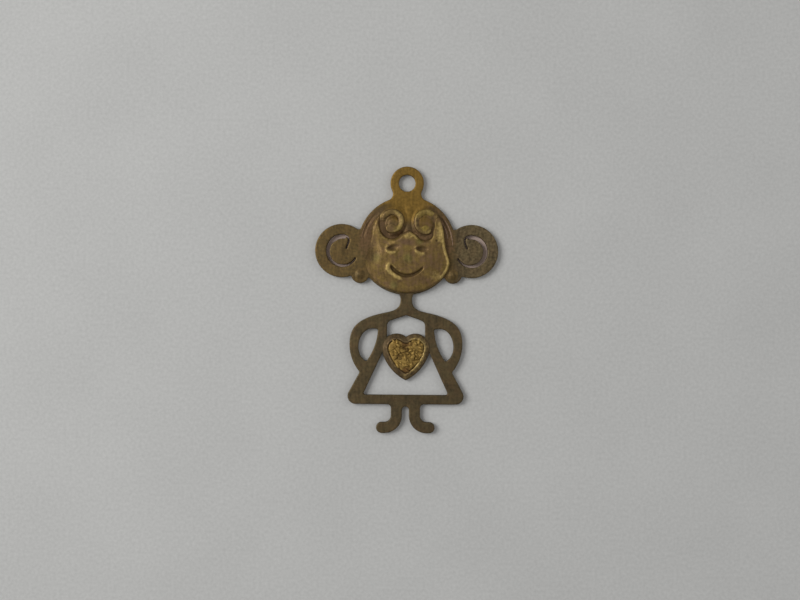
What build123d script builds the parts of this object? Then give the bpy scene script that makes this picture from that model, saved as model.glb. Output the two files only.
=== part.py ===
from build123d import *

import os
from math import cos, radians, sin, sqrt

# A doll charm of soldered brass sheet. It lies on its back: +Z is the front, +Y runs from the feet to the
# hanging loop, and the origin is the centre of the loop's hole on the plate's back face. Millimetres.

# The whole charm: the body takes what the loop, head and legs leave of the height, and the ears take
# what the head leaves of the width
CHARM_H = 39.9
CHARM_W = 27.4

# Sheet and stack heights
PLATE_T = 0.8           # pierced plate
FACE_RIM_H = 0.45       # edge of the pressed face above the plate
FACE_CROWN_H = 0.6      # further rise of the face at the middle of the head
FACE_WALL_T = 0.5       # sheet of the pressed face
FACE_EDGE_R = 0.15      # rounding of the face's front edges
CURL_BEVEL = 0.2        # bevel of the curls' front edges
CURL_SINK = 0.08        # the curls stay this much below the face's dome
SETTING_H = 0.45        # heart setting above the plate
INLAY_PROUD = 0.15      # heart inlay above its setting
STUD_H = 0.35           # ear stud above its lobe

# Hanging loop and head disc
LOOP_HOLE_D = 2.5
LOOP_RIM_W = 1.25
LOOP_TO_HEAD = 9.35
HEAD_D = 14.7
STEM_FILLET_R = 1.0     # hollow between the loop and the head

# Ears with their spiral slits, and the lobes below them
EAR_BITE = 1.6          # how deep the ear's round overlaps the head's
EAR_DROP = 0.8          # ear centre below head centre
EAR_FILLET_R = 0.35
SLIT_D = 4.9            # outer edge of the slit's round run
SLIT_W = 0.75           # where it is widest
SLIT_TAIL_W = 0.25
SLIT_TAIL_ANGLE = 210
SLIT_TURN = 250
HOOK_D = 1.8            # outer edge of the slit's inner hook
HOOK_W = 0.25
HOOK_TURN = 100
HOOK_TAIL_L = 0.9
LOBE_D = 2.6
LOBE_ANGLE = -32        # seen from the head's centre
LOBE_STANDOFF = 0.85    # lobe centre outside the head's edge
LOBE_FILLET_R = 0.2
STUD_D = 1.7

# Hair lines engraved beside the face
HAIR_LINE_INSET = 0.75
HAIR_LINE_W = 0.25
HAIR_LINE_DEPTH = 0.15
HAIR_LINE_FROM = 12
HAIR_LINE_TURN = 32

# Neck, shoulders and arms: each share is of the way from the chin to the hem
NECK_W = 1.7
NECK_FOOT_W = 2.65
NECK_SHARE = 0.046
NECK_ROOT = 0.4         # the neck's foot reaches this far into the head
SHOULDER_X = 3.2
SHOULDER_SHARE = 0.164
UPPER_ARM_X = 6.5
UPPER_ARM_SHARE = 0.232
UPPER_ARM_TILT = 20     # slope of the arm's edge there
ELBOW_SPAN = 16.9
ELBOW_SHARE = 0.452
WAIST_SPAN = 13.8
WAIST_SHARE = 0.708
WAIST_FILLET_R = 0.3
UPPER_ARM_W = 1.65
ARM_W = 1.35            # at the elbow
ARM_HOLE_TOP_SHARE = 0.318
ARM_HOLE_LOW_SHARE = 0.611
ARM_HOLE_R = 0.25
ARM_HOLE_BOW = 0.4      # swell of the hole towards the rail

# Dress frame: two rails and a hem bar round one tall window
HEM_SPAN = 19.0         # between the hem's corners before rounding
HEM_BAR_W = 1.4
HEM_CORNER_R = 1.2
WINDOW_W = 5.7
NECKLINE_SHARE = 0.186  # its point
NECKLINE_DROP = 1.0     # from its point to its corners
WINDOW_TOP_R = 0.9
WINDOW_FOOT_W = 12.8
WINDOW_FOOT_R = 0.25
RAIL_BEND_SHARE = 0.44  # where the rails begin to spread
RAIL_TOP_W = 1.35
RAIL_LOW_W = 1.8

# Legs and feet
LEG_SPACING = 2.7
LEG_W = 1.65
LEG_L = 1.7             # hem to ankle
ANKLE_R = 1.8
FOOT_L = 0.4            # ankle bend to toe centre
CROTCH_DROP = 0.35
LEG_FILLET_R = 0.6

# Heart: plate seat, setting and inlay
HEART_W = 7.2
HEART_H = 7.0
HEART_LOBE_R = 2.2
HEART_SIDE_ANGLE = -15  # where the lobes' rounds pass into the sides
HEART_SHARE = 0.354     # top of the lobes
SETTING_LEDGE = 0.1     # seat left bare round the setting
SETTING_SLOPE = 0.55    # how far the setting's flank leans in
SETTING_RIM_W = 0.3     # rim round the inlay
INLAY_SINK = 0.25       # depth of the inlay's pocket
INLAY_CLEAR = 0.04

# Face: measured from its own centre, which sits a little askew on the head
FACE_SHIFT = 0.17
FACE_TURN = -2.5
FACE_LEDGE = 0.25       # plate left bare round the chin
JAW_ANGLE = -40
CHEEK_Y = -2.5
CHEEK_BAND_W = 0.75     # hair showing beside the cheek
EYE_LINE_Y = -0.4
EYE_BAND_W = 1.6        # hair showing beside the eyes
BROW_Y = 2.0
BROW_BAND_W = 1.75
TEMPLE_Y = 4.4
TEMPLE_BAND_W = 1.35
PEAK_Y = 2.3            # point of the hairline
EYE_X = 2.15
EYE_W = 1.8
EYE_H = 0.8
MOUTH_W = 4.8
MOUTH_Y = -3.1
MOUTH_SAG = 1.5
MOUTH_T = 0.45
CUT_DEPTH = 0.28        # eyes and mouth

# Fringe curls: a strand leaves the hair, rounds the top of a bowl in the face and winds in to a ball
CURL_Y = 3.55           # middle of the strand's round
STRAND_D = 2.8
STRAND_W = 0.9
STRAND_FROM = 45
STRAND_TURN = 215
STRAND_TAIL_L = 0.3
STRAND_CLEAR = 0.06     # from the strand to the face
BALL_D = 1.5
BALL_ANGLE = -85        # where the ball touches the strand's outer edge
BOWL_W = 3.7
BOWL_H = 4.5
BOWL_DROP = 0.4
TEMPLE_W = 0.7          # strip of face outside each bowl

# Derived places
LOOP_R = LOOP_HOLE_D / 2 + LOOP_RIM_W
HEAD_R = HEAD_D / 2
HEAD_Y = -LOOP_TO_HEAD
CHIN_Y = HEAD_Y - HEAD_R
EAR_ROOT_R = HEAD_R - EAR_BITE
EAR_R = (CHARM_W**2 / 4 + EAR_DROP**2 - EAR_ROOT_R**2) / (CHARM_W + 2 * EAR_ROOT_R)
EAR_X = CHARM_W / 2 - EAR_R
EAR_Y = HEAD_Y - EAR_DROP
LOBE_X = (HEAD_R + LOBE_STANDOFF) * cos(radians(LOBE_ANGLE))
LOBE_Y = HEAD_Y + (HEAD_R + LOBE_STANDOFF) * sin(radians(LOBE_ANGLE))
BODY_H = CHARM_H - LOOP_R + CHIN_Y - LEG_L - ANKLE_R - LEG_W / 2
HEM_Y = CHIN_Y - BODY_H
HEM_TOP_Y = HEM_Y + HEM_BAR_W
HEART_TOP_Y = CHIN_Y - HEART_SHARE * BODY_H
FACE_R = HEAD_R - FACE_LEDGE
LEG_X = LEG_SPACING / 2


def body_y(share):
    """Height at a share of the way from the chin down to the hem."""
    return CHIN_Y - share * BODY_H


def half_chord(y):
    """Half the width of the head disc at a height above its centre."""
    return sqrt(HEAD_R**2 - y**2)


CURL_X = half_chord(CURL_Y) - TEMPLE_BAND_W - TEMPLE_W - BOWL_W / 2


def both_sides(shape):
    """A shape together with its mirror image across the charm's axis."""
    return shape + mirror(shape, about=Plane.YZ)


def notch_web(center_a, radius_a, center_b, radius_b, fillet_r, side):
    """Sheet that fills the notch between two round edges up to a tangent hollow."""
    a = Vector(*center_a)
    b = Vector(*center_b)
    span = (b - a).length
    along = (b - a).normalized()
    across = Vector(-along.Y, along.X) * side
    reach_a = radius_a + fillet_r
    reach_b = radius_b + fillet_r
    foot = (span**2 + reach_a**2 - reach_b**2) / (2 * span)
    hollow = a + along * foot + across * sqrt(reach_a**2 - foot**2)
    wedge = make_face(Polyline(a, hollow, b, close=True))
    return wedge - Pos(hollow.X, hollow.Y) * Circle(fillet_r)


def corner_web(x, y, radius, step_x, step_y):
    """Sheet that rounds the inner corner at (x, y), open towards the two steps."""
    block = Pos(x + step_x * radius / 2, y + step_y * radius / 2) * Rectangle(radius, radius)
    return block - Pos(x + step_x * radius, y + step_y * radius) * Circle(radius)


def loop_outline():
    """Round loop at the origin and the hollows that carry it into the head."""
    webs = notch_web((0, 0), LOOP_R, (0, HEAD_Y), HEAD_R, STEM_FILLET_R, 1)
    return Circle(LOOP_R) + both_sides(webs)


def ear_outline():
    """Right ear and its lobe, with the hollows where they meet each other and the head."""
    head = (0, HEAD_Y)
    ear = (EAR_X, EAR_Y)
    lobe = (LOBE_X, LOBE_Y)
    lobe_r = LOBE_D / 2
    outline = Pos(*ear) * Circle(EAR_R)
    outline += Pos(*lobe) * Circle(lobe_r)
    outline += notch_web(head, HEAD_R, ear, EAR_R, EAR_FILLET_R, 1)
    outline += notch_web(lobe, lobe_r, ear, EAR_R, LOBE_FILLET_R, -1)
    outline += notch_web(head, HEAD_R, lobe, lobe_r, LOBE_FILLET_R, -1)
    return outline


def ear_slit():
    """Pierced spiral of the right ear: a run that narrows to its tail and a thin hook to the centre."""
    slit_r = SLIT_D / 2
    hole_r = slit_r - (SLIT_W + SLIT_TAIL_W) / 2
    shift = (SLIT_W - SLIT_TAIL_W) / 2
    far = SLIT_D * 2
    top = Rot(0, 0, SLIT_TAIL_ANGLE + SLIT_TURN)
    tail = Rot(0, 0, SLIT_TAIL_ANGLE)
    hole_edge = shift * cos(radians(SLIT_TURN)) + sqrt(hole_r**2 - (shift * sin(radians(SLIT_TURN))) ** 2)
    top_w = slit_r - hole_edge
    between = Polyline((0, 0), (top * Pos(far, 0)).position, (tail * Pos(far, 0)).position, close=True)
    run = Circle(slit_r) - tail * Pos(shift, 0) * Circle(hole_r) - make_face(between)
    run += top * Pos(slit_r - top_w / 2, 0) * Circle(top_w / 2)
    run += tail * Pos(slit_r - SLIT_TAIL_W / 2, 0) * Circle(SLIT_TAIL_W / 2)
    hook = CenterArc((slit_r - HOOK_D / 2, 0), (HOOK_D - HOOK_W) / 2, 0, HOOK_TURN)
    hook_end = Line(hook @ 1, hook @ 1 + (hook % 1) * HOOK_TAIL_L)
    run += top * SlotArc(Wire([hook, hook_end]), HOOK_W)
    return Pos(EAR_X, EAR_Y) * run


def torso_half():
    """Right half of the body's outer edge, from inside the head to the hem."""
    foot = Vector(NECK_FOOT_W / 2, CHIN_Y + NECK_ROOT)
    neck = Vector(NECK_W / 2, body_y(NECK_SHARE))
    shoulder = Vector(SHOULDER_X, body_y(SHOULDER_SHARE))
    upper_arm = Vector(UPPER_ARM_X, body_y(UPPER_ARM_SHARE))
    elbow = Vector(ELBOW_SPAN / 2, body_y(ELBOW_SHARE))
    waist = Vector(WAIST_SPAN / 2, body_y(WAIST_SHARE))
    hem = Vector(HEM_SPAN / 2, HEM_Y)
    edge = Spline(neck, shoulder, upper_arm, elbow, tangents=[(0, -1), (0, -1)])
    edge += TangentArc(elbow, waist, tangent=(0, -1))
    edge += Polyline(waist, hem, (0, HEM_Y), (0, foot.Y), foot)
    edge += TangentArc(neck, foot, tangent=(0, 1))
    half = make_face(edge)
    half = fillet(half.vertices().sort_by_distance(hem)[0], HEM_CORNER_R)
    return fillet(half.vertices().sort_by_distance(waist)[0], WAIST_FILLET_R)


def arm_hole():
    """Opening between the right arm and the dress rail."""
    top = Vector(WINDOW_W / 2 + RAIL_TOP_W, body_y(ARM_HOLE_TOP_SHARE))
    low_y = body_y(ARM_HOLE_LOW_SHARE)
    low = Vector(rail_inner_x(low_y) + RAIL_LOW_W, low_y)
    upper_arm = Vector(UPPER_ARM_X, body_y(UPPER_ARM_SHARE))
    upper = upper_arm + Vector(0, -UPPER_ARM_W).rotate(Axis.Z, -UPPER_ARM_TILT)
    elbow = Vector(ELBOW_SPAN / 2 - ARM_W, body_y(ELBOW_SHARE))
    middle = (top + low) / 2 - Vector(ARM_HOLE_BOW, 0)
    edge = Spline(top, upper, elbow, low)
    hole = make_face(edge + ThreePointArc(low, middle, top))
    return fillet(hole.vertices(), ARM_HOLE_R)


def rail_inner_x(y):
    """Inner edge of the right rail at a height below its bend."""
    bend_y = body_y(RAIL_BEND_SHARE)
    share = (bend_y - y) / (bend_y - HEM_TOP_Y)
    return WINDOW_W / 2 + share * (WINDOW_FOOT_W - WINDOW_W) / 2


def dress_window():
    """Tall opening of the dress, from the pointed neckline to the hem bar."""
    peak = Vector(0, body_y(NECKLINE_SHARE))
    corner = Vector(WINDOW_W / 2, peak.Y - NECKLINE_DROP)
    bend = Vector(WINDOW_W / 2, body_y(RAIL_BEND_SHARE))
    foot = Vector(WINDOW_FOOT_W / 2, HEM_TOP_Y)
    half = make_face(Polyline(peak, corner, bend, foot, (0, HEM_TOP_Y), close=True))
    half = fillet(half.vertices().sort_by_distance(corner)[0], WINDOW_TOP_R)
    half = fillet(half.vertices().sort_by_distance(foot)[0], WINDOW_FOOT_R)
    return both_sides(half)


def heart_outline(inset):
    """Heart of two round lobes and two bowed sides, drawn in by the same inset all round."""
    lobe = Vector(HEART_W / 2 - HEART_LOBE_R, HEART_TOP_Y - HEART_LOBE_R)
    outward = Vector(cos(radians(HEART_SIDE_ANGLE)), sin(radians(HEART_SIDE_ANGLE)))
    tip = Vector(0, HEART_TOP_Y - HEART_H)
    cleft = Vector(0, lobe.Y + sqrt(HEART_LOBE_R**2 - lobe.X**2))
    chord = lobe + outward * HEART_LOBE_R - tip
    side_r = chord.length**2 / (2 * outward.dot(chord))
    side_center = lobe + outward * (HEART_LOBE_R - side_r)
    drawn_tip = Vector(0, side_center.Y - sqrt((side_r - inset) ** 2 - side_center.X**2))
    drawn_cleft = cleft - Vector(0, inset)
    start = lobe + (cleft - lobe).normalized() * (HEART_LOBE_R - inset)
    top = lobe + Vector(0, HEART_LOBE_R - inset)
    side = lobe + outward * (HEART_LOBE_R - inset)
    edge = ThreePointArc(start, top, side)
    edge += TangentArc(side, drawn_tip, tangent=(outward.Y, -outward.X))
    edge += Line(drawn_tip, drawn_cleft)
    if inset > 0:
        middle = cleft + (start + drawn_cleft - cleft * 2).normalized() * inset
        edge += ThreePointArc(drawn_cleft, middle, start)
    return both_sides(make_face(edge))


def leg_outline():
    """Right leg: a strip that runs down from the hem and turns out into a round-toed foot."""
    hip = Vector(LEG_X, HEM_TOP_Y)
    ankle = Vector(LEG_X, HEM_Y - LEG_L)
    sole = Vector(LEG_X + ANKLE_R, ankle.Y - ANKLE_R)
    toe = sole + Vector(FOOT_L, 0)
    path = Line(hip, ankle) + TangentArc(ankle, sole, tangent=(0, -1)) + Line(sole, toe)
    strip = trace(path, LEG_W)
    strip += Pos(toe.X, toe.Y) * Circle(LEG_W / 2)
    return strip + corner_web(LEG_X + LEG_W / 2, HEM_Y, LEG_FILLET_R, 1, -1)


def crotch_web():
    """Sheet above the arch between the legs."""
    arch_r = LEG_X - LEG_W / 2
    depth = CROTCH_DROP + arch_r
    web = Pos(0, HEM_Y - depth / 2) * Rectangle(2 * arch_r, depth)
    return web - Pos(0, HEM_Y - depth) * Circle(arch_r)


def pierced_plate():
    """The flat figure that carries everything, with its loop, slits and windows cut through."""
    outline = Pos(0, HEAD_Y) * Circle(HEAD_R)
    outline += loop_outline()
    outline += both_sides(ear_outline())
    outline += both_sides(torso_half())
    outline += both_sides(leg_outline())
    outline += crotch_web()
    outline -= Circle(LOOP_HOLE_D / 2)
    outline -= both_sides(ear_slit())
    outline -= both_sides(arm_hole())
    outline -= dress_window() - heart_outline(0)
    plate = extrude(outline, amount=PLATE_T)
    line_r = HEAD_R - HAIR_LINE_INSET
    arc = CenterArc((0, HEAD_Y), line_r, HAIR_LINE_FROM, HAIR_LINE_TURN)
    lines = both_sides(SlotArc(arc, HAIR_LINE_W))
    return plate - extrude(Pos(0, 0, PLATE_T) * lines, amount=-HAIR_LINE_DEPTH)


def head_dome(drop):
    """Large ball whose cap is the face's pressed dome, lowered by a drop."""
    ball_r = (FACE_R**2 + FACE_CROWN_H**2) / (2 * FACE_CROWN_H)
    crown_z = PLATE_T + FACE_RIM_H + FACE_CROWN_H
    return Pos(0, HEAD_Y, crown_z - ball_r) * Rot(90, 0, 0) * Sphere(ball_r - drop)


def raised(outline):
    """Block that stands on the plate's front and reaches above the highest relief."""
    return extrude(Pos(0, 0, PLATE_T) * outline, amount=2 * (FACE_RIM_H + FACE_CROWN_H))


def face_side():
    """Right edge of the face from the jaw over the cheek to the temple."""
    jaw_angle = radians(JAW_ANGLE)
    jaw = Vector(FACE_R * cos(jaw_angle), FACE_R * sin(jaw_angle))
    cheek = Vector(half_chord(CHEEK_Y) - CHEEK_BAND_W, CHEEK_Y)
    eye = Vector(half_chord(EYE_LINE_Y) - EYE_BAND_W, EYE_LINE_Y)
    brow = Vector(half_chord(BROW_Y) - BROW_BAND_W, BROW_Y)
    temple = Vector(half_chord(TEMPLE_Y) - TEMPLE_BAND_W, TEMPLE_Y)
    return Spline(jaw, cheek, eye, brow, temple), jaw, temple


def strand_outline(margin):
    """Strand of the right curl from its tail to its inner end, widened by a margin on each side."""
    arc = CenterArc((CURL_X, CURL_Y), STRAND_D / 2, STRAND_FROM, STRAND_TURN)
    tail = Line(arc @ 0 - (arc % 0) * STRAND_TAIL_L, arc @ 0)
    return SlotArc(Wire([tail, arc]), STRAND_W + 2 * margin)


def face_outline():
    """Face with its cheeks, cut back round the curls to a pointed hairline."""
    side, jaw, temple = face_side()
    crown = Vector(0, TEMPLE_Y)
    edge = side + Line(temple, crown) + Line(crown, (0, -FACE_R))
    edge += ThreePointArc((0, -FACE_R), Vector(0, -FACE_R).rotate(Axis.Z, (90 + JAW_ANGLE) / 2), jaw)
    bowl_y = CURL_Y - BOWL_DROP
    bowl_low = (CURL_X, bowl_y - BOWL_H / 2)
    hairline = make_face(Polyline((0, PEAK_Y), bowl_low, (CURL_X, HEAD_R), (0, HEAD_R), close=True))
    half = make_face(edge) - hairline
    half -= Pos(CURL_X, bowl_y) * Ellipse(BOWL_W / 2, BOWL_H / 2)
    half -= strand_outline(STRAND_CLEAR)
    return Pos(0, HEAD_Y) * both_sides(half)


def eye_outline():
    """Right eye: an almond of two arcs."""
    inner = (EYE_X - EYE_W / 2, EYE_LINE_Y)
    outer = (EYE_X + EYE_W / 2, EYE_LINE_Y)
    lid = ThreePointArc(inner, (EYE_X, EYE_LINE_Y + EYE_H / 2), outer)
    return make_face(lid + ThreePointArc(outer, (EYE_X, EYE_LINE_Y - EYE_H / 2), inner))


def mouth_outline():
    """Smiling crescent of two arcs."""
    left = (-MOUTH_W / 2, MOUTH_Y)
    right = (MOUTH_W / 2, MOUTH_Y)
    lower = ThreePointArc(left, (0, MOUTH_Y - MOUTH_SAG), right)
    return make_face(lower + ThreePointArc(right, (0, MOUTH_Y - MOUTH_SAG + MOUTH_T), left))


def face_hollow():
    """Lens-shaped hollow behind the pressed face, clear of its edges."""
    top_y = CURL_Y - BOWL_DROP - BOWL_H / 2 - FACE_WALL_T
    low_y = -FACE_R + FACE_WALL_T
    half_w = half_chord(EYE_LINE_Y) - EYE_BAND_W - FACE_WALL_T
    outline = Pos(0, HEAD_Y + (top_y + low_y) / 2) * Ellipse(half_w, (top_y - low_y) / 2)
    return raised(outline) & head_dome(FACE_WALL_T)


def front_edges(shape):
    """Edges round the domed front of a raised piece."""
    return shape.faces().filter_by(GeomType.SPHERE).edges()


def face_shell():
    """Pressed face: domed in front, hollow behind, with sunk eyes and mouth."""
    shell = raised(face_outline()) & head_dome(0)
    shell = fillet(front_edges(shell), FACE_EDGE_R) - face_hollow()
    cuts = Pos(0, HEAD_Y) * (both_sides(eye_outline()) + mouth_outline())
    return shell - (raised(cuts) - head_dome(CUT_DEPTH))


def fringe_curl():
    """Right fringe curl: a strand that winds in to a round ball."""
    reach = (STRAND_D + STRAND_W - BALL_D) / 2
    ball = Pos(CURL_X + reach * cos(radians(BALL_ANGLE)), CURL_Y + reach * sin(radians(BALL_ANGLE)))
    outline = strand_outline(0) + ball * Circle(BALL_D / 2)
    curl = raised(Pos(0, HEAD_Y) * outline) & head_dome(CURL_SINK)
    return chamfer(front_edges(curl), CURL_BEVEL)


def heart_setting():
    """Raised heart with leaning flanks and a pocket for the inlay."""
    base = Pos(0, 0, PLATE_T) * heart_outline(SETTING_LEDGE)
    top = Pos(0, 0, PLATE_T + SETTING_H) * heart_outline(SETTING_LEDGE + SETTING_SLOPE)
    body = loft([base.face(), top.face()], ruled=True)
    pocket = heart_outline(SETTING_LEDGE + SETTING_SLOPE + SETTING_RIM_W)
    return body - extrude(Pos(0, 0, PLATE_T + SETTING_H) * pocket, amount=-INLAY_SINK)


def heart_inlay():
    """Heart-shaped plug that fills the setting's pocket and stands a little proud of it."""
    outline = heart_outline(SETTING_LEDGE + SETTING_SLOPE + SETTING_RIM_W + INLAY_CLEAR)
    return extrude(Pos(0, 0, PLATE_T + SETTING_H - INLAY_SINK) * outline, amount=INLAY_SINK + INLAY_PROUD)


def ear_stud():
    """Small dome on the right ear lobe."""
    stud_r = STUD_D / 2
    ball_r = (stud_r**2 + STUD_H**2) / (2 * STUD_H)
    ball = Pos(LOBE_X, LOBE_Y, PLATE_T + STUD_H - ball_r) * Rot(90, 0, 0) * Sphere(ball_r)
    post = Pos(LOBE_X, LOBE_Y) * Circle(stud_r)
    return raised(post) & ball


def mirrored(shape):
    """The left-hand twin of a right-hand piece."""
    return mirror(shape, about=Plane.YZ)


def set_on_head(shape):
    """Puts a piece of the face where it sits on the head."""
    return Pos(FACE_SHIFT, HEAD_Y) * Rot(0, 0, FACE_TURN) * Pos(0, -HEAD_Y) * shape


NODES = {
    "pierced_plate": pierced_plate(),
    "face_shell": set_on_head(face_shell()),
    "curl_right": set_on_head(fringe_curl()),
    "curl_left": set_on_head(mirrored(fringe_curl())),
    "heart_setting": heart_setting(),
    "heart_inlay": heart_inlay(),
    "ear_stud_right": ear_stud(),
    "ear_stud_left": mirrored(ear_stud()),
}

os.makedirs("parts", exist_ok=True)
for name, shape in NODES.items():
    export_step(shape, f"parts/{name}.step")
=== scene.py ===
import logging
import math
from dataclasses import dataclass, field
from enum import Enum
from typing import Callable

import bpy
import numpy as np
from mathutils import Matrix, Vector
from mathutils.geometry import delaunay_2d_cdt
from mathutils.kdtree import KDTree


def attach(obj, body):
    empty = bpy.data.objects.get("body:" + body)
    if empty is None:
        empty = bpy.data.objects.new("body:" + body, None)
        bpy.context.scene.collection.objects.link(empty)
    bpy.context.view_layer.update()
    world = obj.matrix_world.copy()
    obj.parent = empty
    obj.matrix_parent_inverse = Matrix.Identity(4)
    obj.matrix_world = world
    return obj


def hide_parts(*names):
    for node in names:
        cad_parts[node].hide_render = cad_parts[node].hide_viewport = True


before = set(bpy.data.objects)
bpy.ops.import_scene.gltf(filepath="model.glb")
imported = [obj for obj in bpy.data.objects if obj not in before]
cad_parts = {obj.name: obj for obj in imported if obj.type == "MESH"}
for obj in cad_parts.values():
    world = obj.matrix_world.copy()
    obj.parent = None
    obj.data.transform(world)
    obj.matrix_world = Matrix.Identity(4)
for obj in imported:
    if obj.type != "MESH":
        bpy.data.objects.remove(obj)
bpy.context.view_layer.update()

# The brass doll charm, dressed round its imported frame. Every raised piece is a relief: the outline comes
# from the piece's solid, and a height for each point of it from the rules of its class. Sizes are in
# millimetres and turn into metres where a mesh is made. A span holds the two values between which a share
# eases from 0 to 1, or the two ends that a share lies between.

MM = 0.001
BODY = "root"

# How finely points, edges and triangles are told apart, in millimetres.
MERGE_DIGITS = 3
FLAT_GAP = 1e-3
TIE_GAP = 1e-9
DRAW_GAP = 1e-6
FLAT_AREA = 1e-9

# Shares of a step, a ring and a pitch that keep a relief's points apart.
SHORT_SHARE = 0.125
RING_SHARE = 0.9
FIELD_SHARE = 0.6

# Sockets of the colour mix node.
MIX_SHARE = 0
MIX_A = 6
MIX_B = 7
MIX_RESULT = 2

log = logging.getLogger("charm")

Span = tuple[float, float]
Triple = tuple[float, float, float]
Colour = Triple
Socket = bpy.types.NodeSocket
Sockets = bpy.types.bpy_prop_collection
Heights = Callable[[np.ndarray, np.ndarray], np.ndarray]
Masks = Callable[[np.ndarray, np.ndarray], dict[str, np.ndarray]]


class Slot(str, Enum):
    """Material slots, one held by each piece."""

    PLATE = "plate"
    FACE = "face"
    CURLS = "curls"
    SETTING = "setting"
    INLAY = "inlay"
    STUDS = "studs"


class Mask(str, Enum):
    """Attributes that a relief carries for its finish; the wear mask also carries painted highlights and the
    grime mask painted shade.
    """

    WEAR = "wear"
    GRIME = "grime"
    GILT = "gilt"
    STAIN = "stain"


class Side(Enum):
    """The two sides of the figure, as the viewer sees them."""

    RIGHT = 1
    LEFT = -1

    @property
    def label(self) -> str:
        """The side's name as pieces carry it."""
        return self.name.lower()

    def pick(self, right: object, left: object) -> object:
        """The right side's value or the left side's."""
        return right if self is Side.RIGHT else left


def ease(span: Span, value: np.ndarray) -> np.ndarray:
    """Eases from 0 at a span's first value to 1 at its second, which may be the lower one.

    Args:
        span: the values that give 0 and 1.
        value: values to ease.

    Returns:
        Shares from 0 to 1.
    """
    low, high = span
    share = np.clip((value - low) / (high - low), 0.0, 1.0)
    return share * share * (3.0 - 2.0 * share)


def bell(value: np.ndarray, width: float | np.ndarray) -> np.ndarray:
    """A bell curve of height 1 round 0 that falls to 1/e at the width."""
    return np.exp(-((value / width) ** 2))


def between(ends: Span, share: np.ndarray) -> np.ndarray:
    """Values between two ends: the first where the share is 0, the second where it is 1."""
    return ends[0] + (ends[1] - ends[0]) * share


def strongest(*masks: np.ndarray) -> np.ndarray:
    """The largest of several masks at every place."""
    return np.maximum.reduce(masks)


def round_over(inset: np.ndarray, radius: float) -> np.ndarray:
    """How far a rounded edge drops below its top at a distance inside the outline.

    Args:
        inset: distances from the outline.
        radius: radius of the rounding.

    Returns:
        Drops, from the radius at the outline to 0 at the radius inside it.
    """
    reach = np.clip(radius - inset, 0.0, radius)
    return radius - np.sqrt(np.maximum(radius**2 - reach**2, 0.0))


@dataclass(frozen=True)
class Stretch:
    """A run that eases in between its first two values and out between its last two."""

    start: float
    full: float
    fading: float
    end: float

    def share(self, value: np.ndarray) -> np.ndarray:
        """1 inside the run, eased to 0 outside it."""
        return ease((self.start, self.full), value) * ease((self.end, self.fading), value)


@dataclass(frozen=True)
class Spot:
    """A soft patch, by its middle and its reach across and up, which is the same where one is given."""

    across: float
    up: float
    wide: float
    tall: float | None = None

    def share(self, across: np.ndarray, up: np.ndarray) -> np.ndarray:
        """Share of the patch at places: 1 in its middle, 1/e at its reach."""
        tall = self.tall or self.wide
        return bell(np.hypot((across - self.across) / self.wide, (up - self.up) / tall), 1.0)


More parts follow.
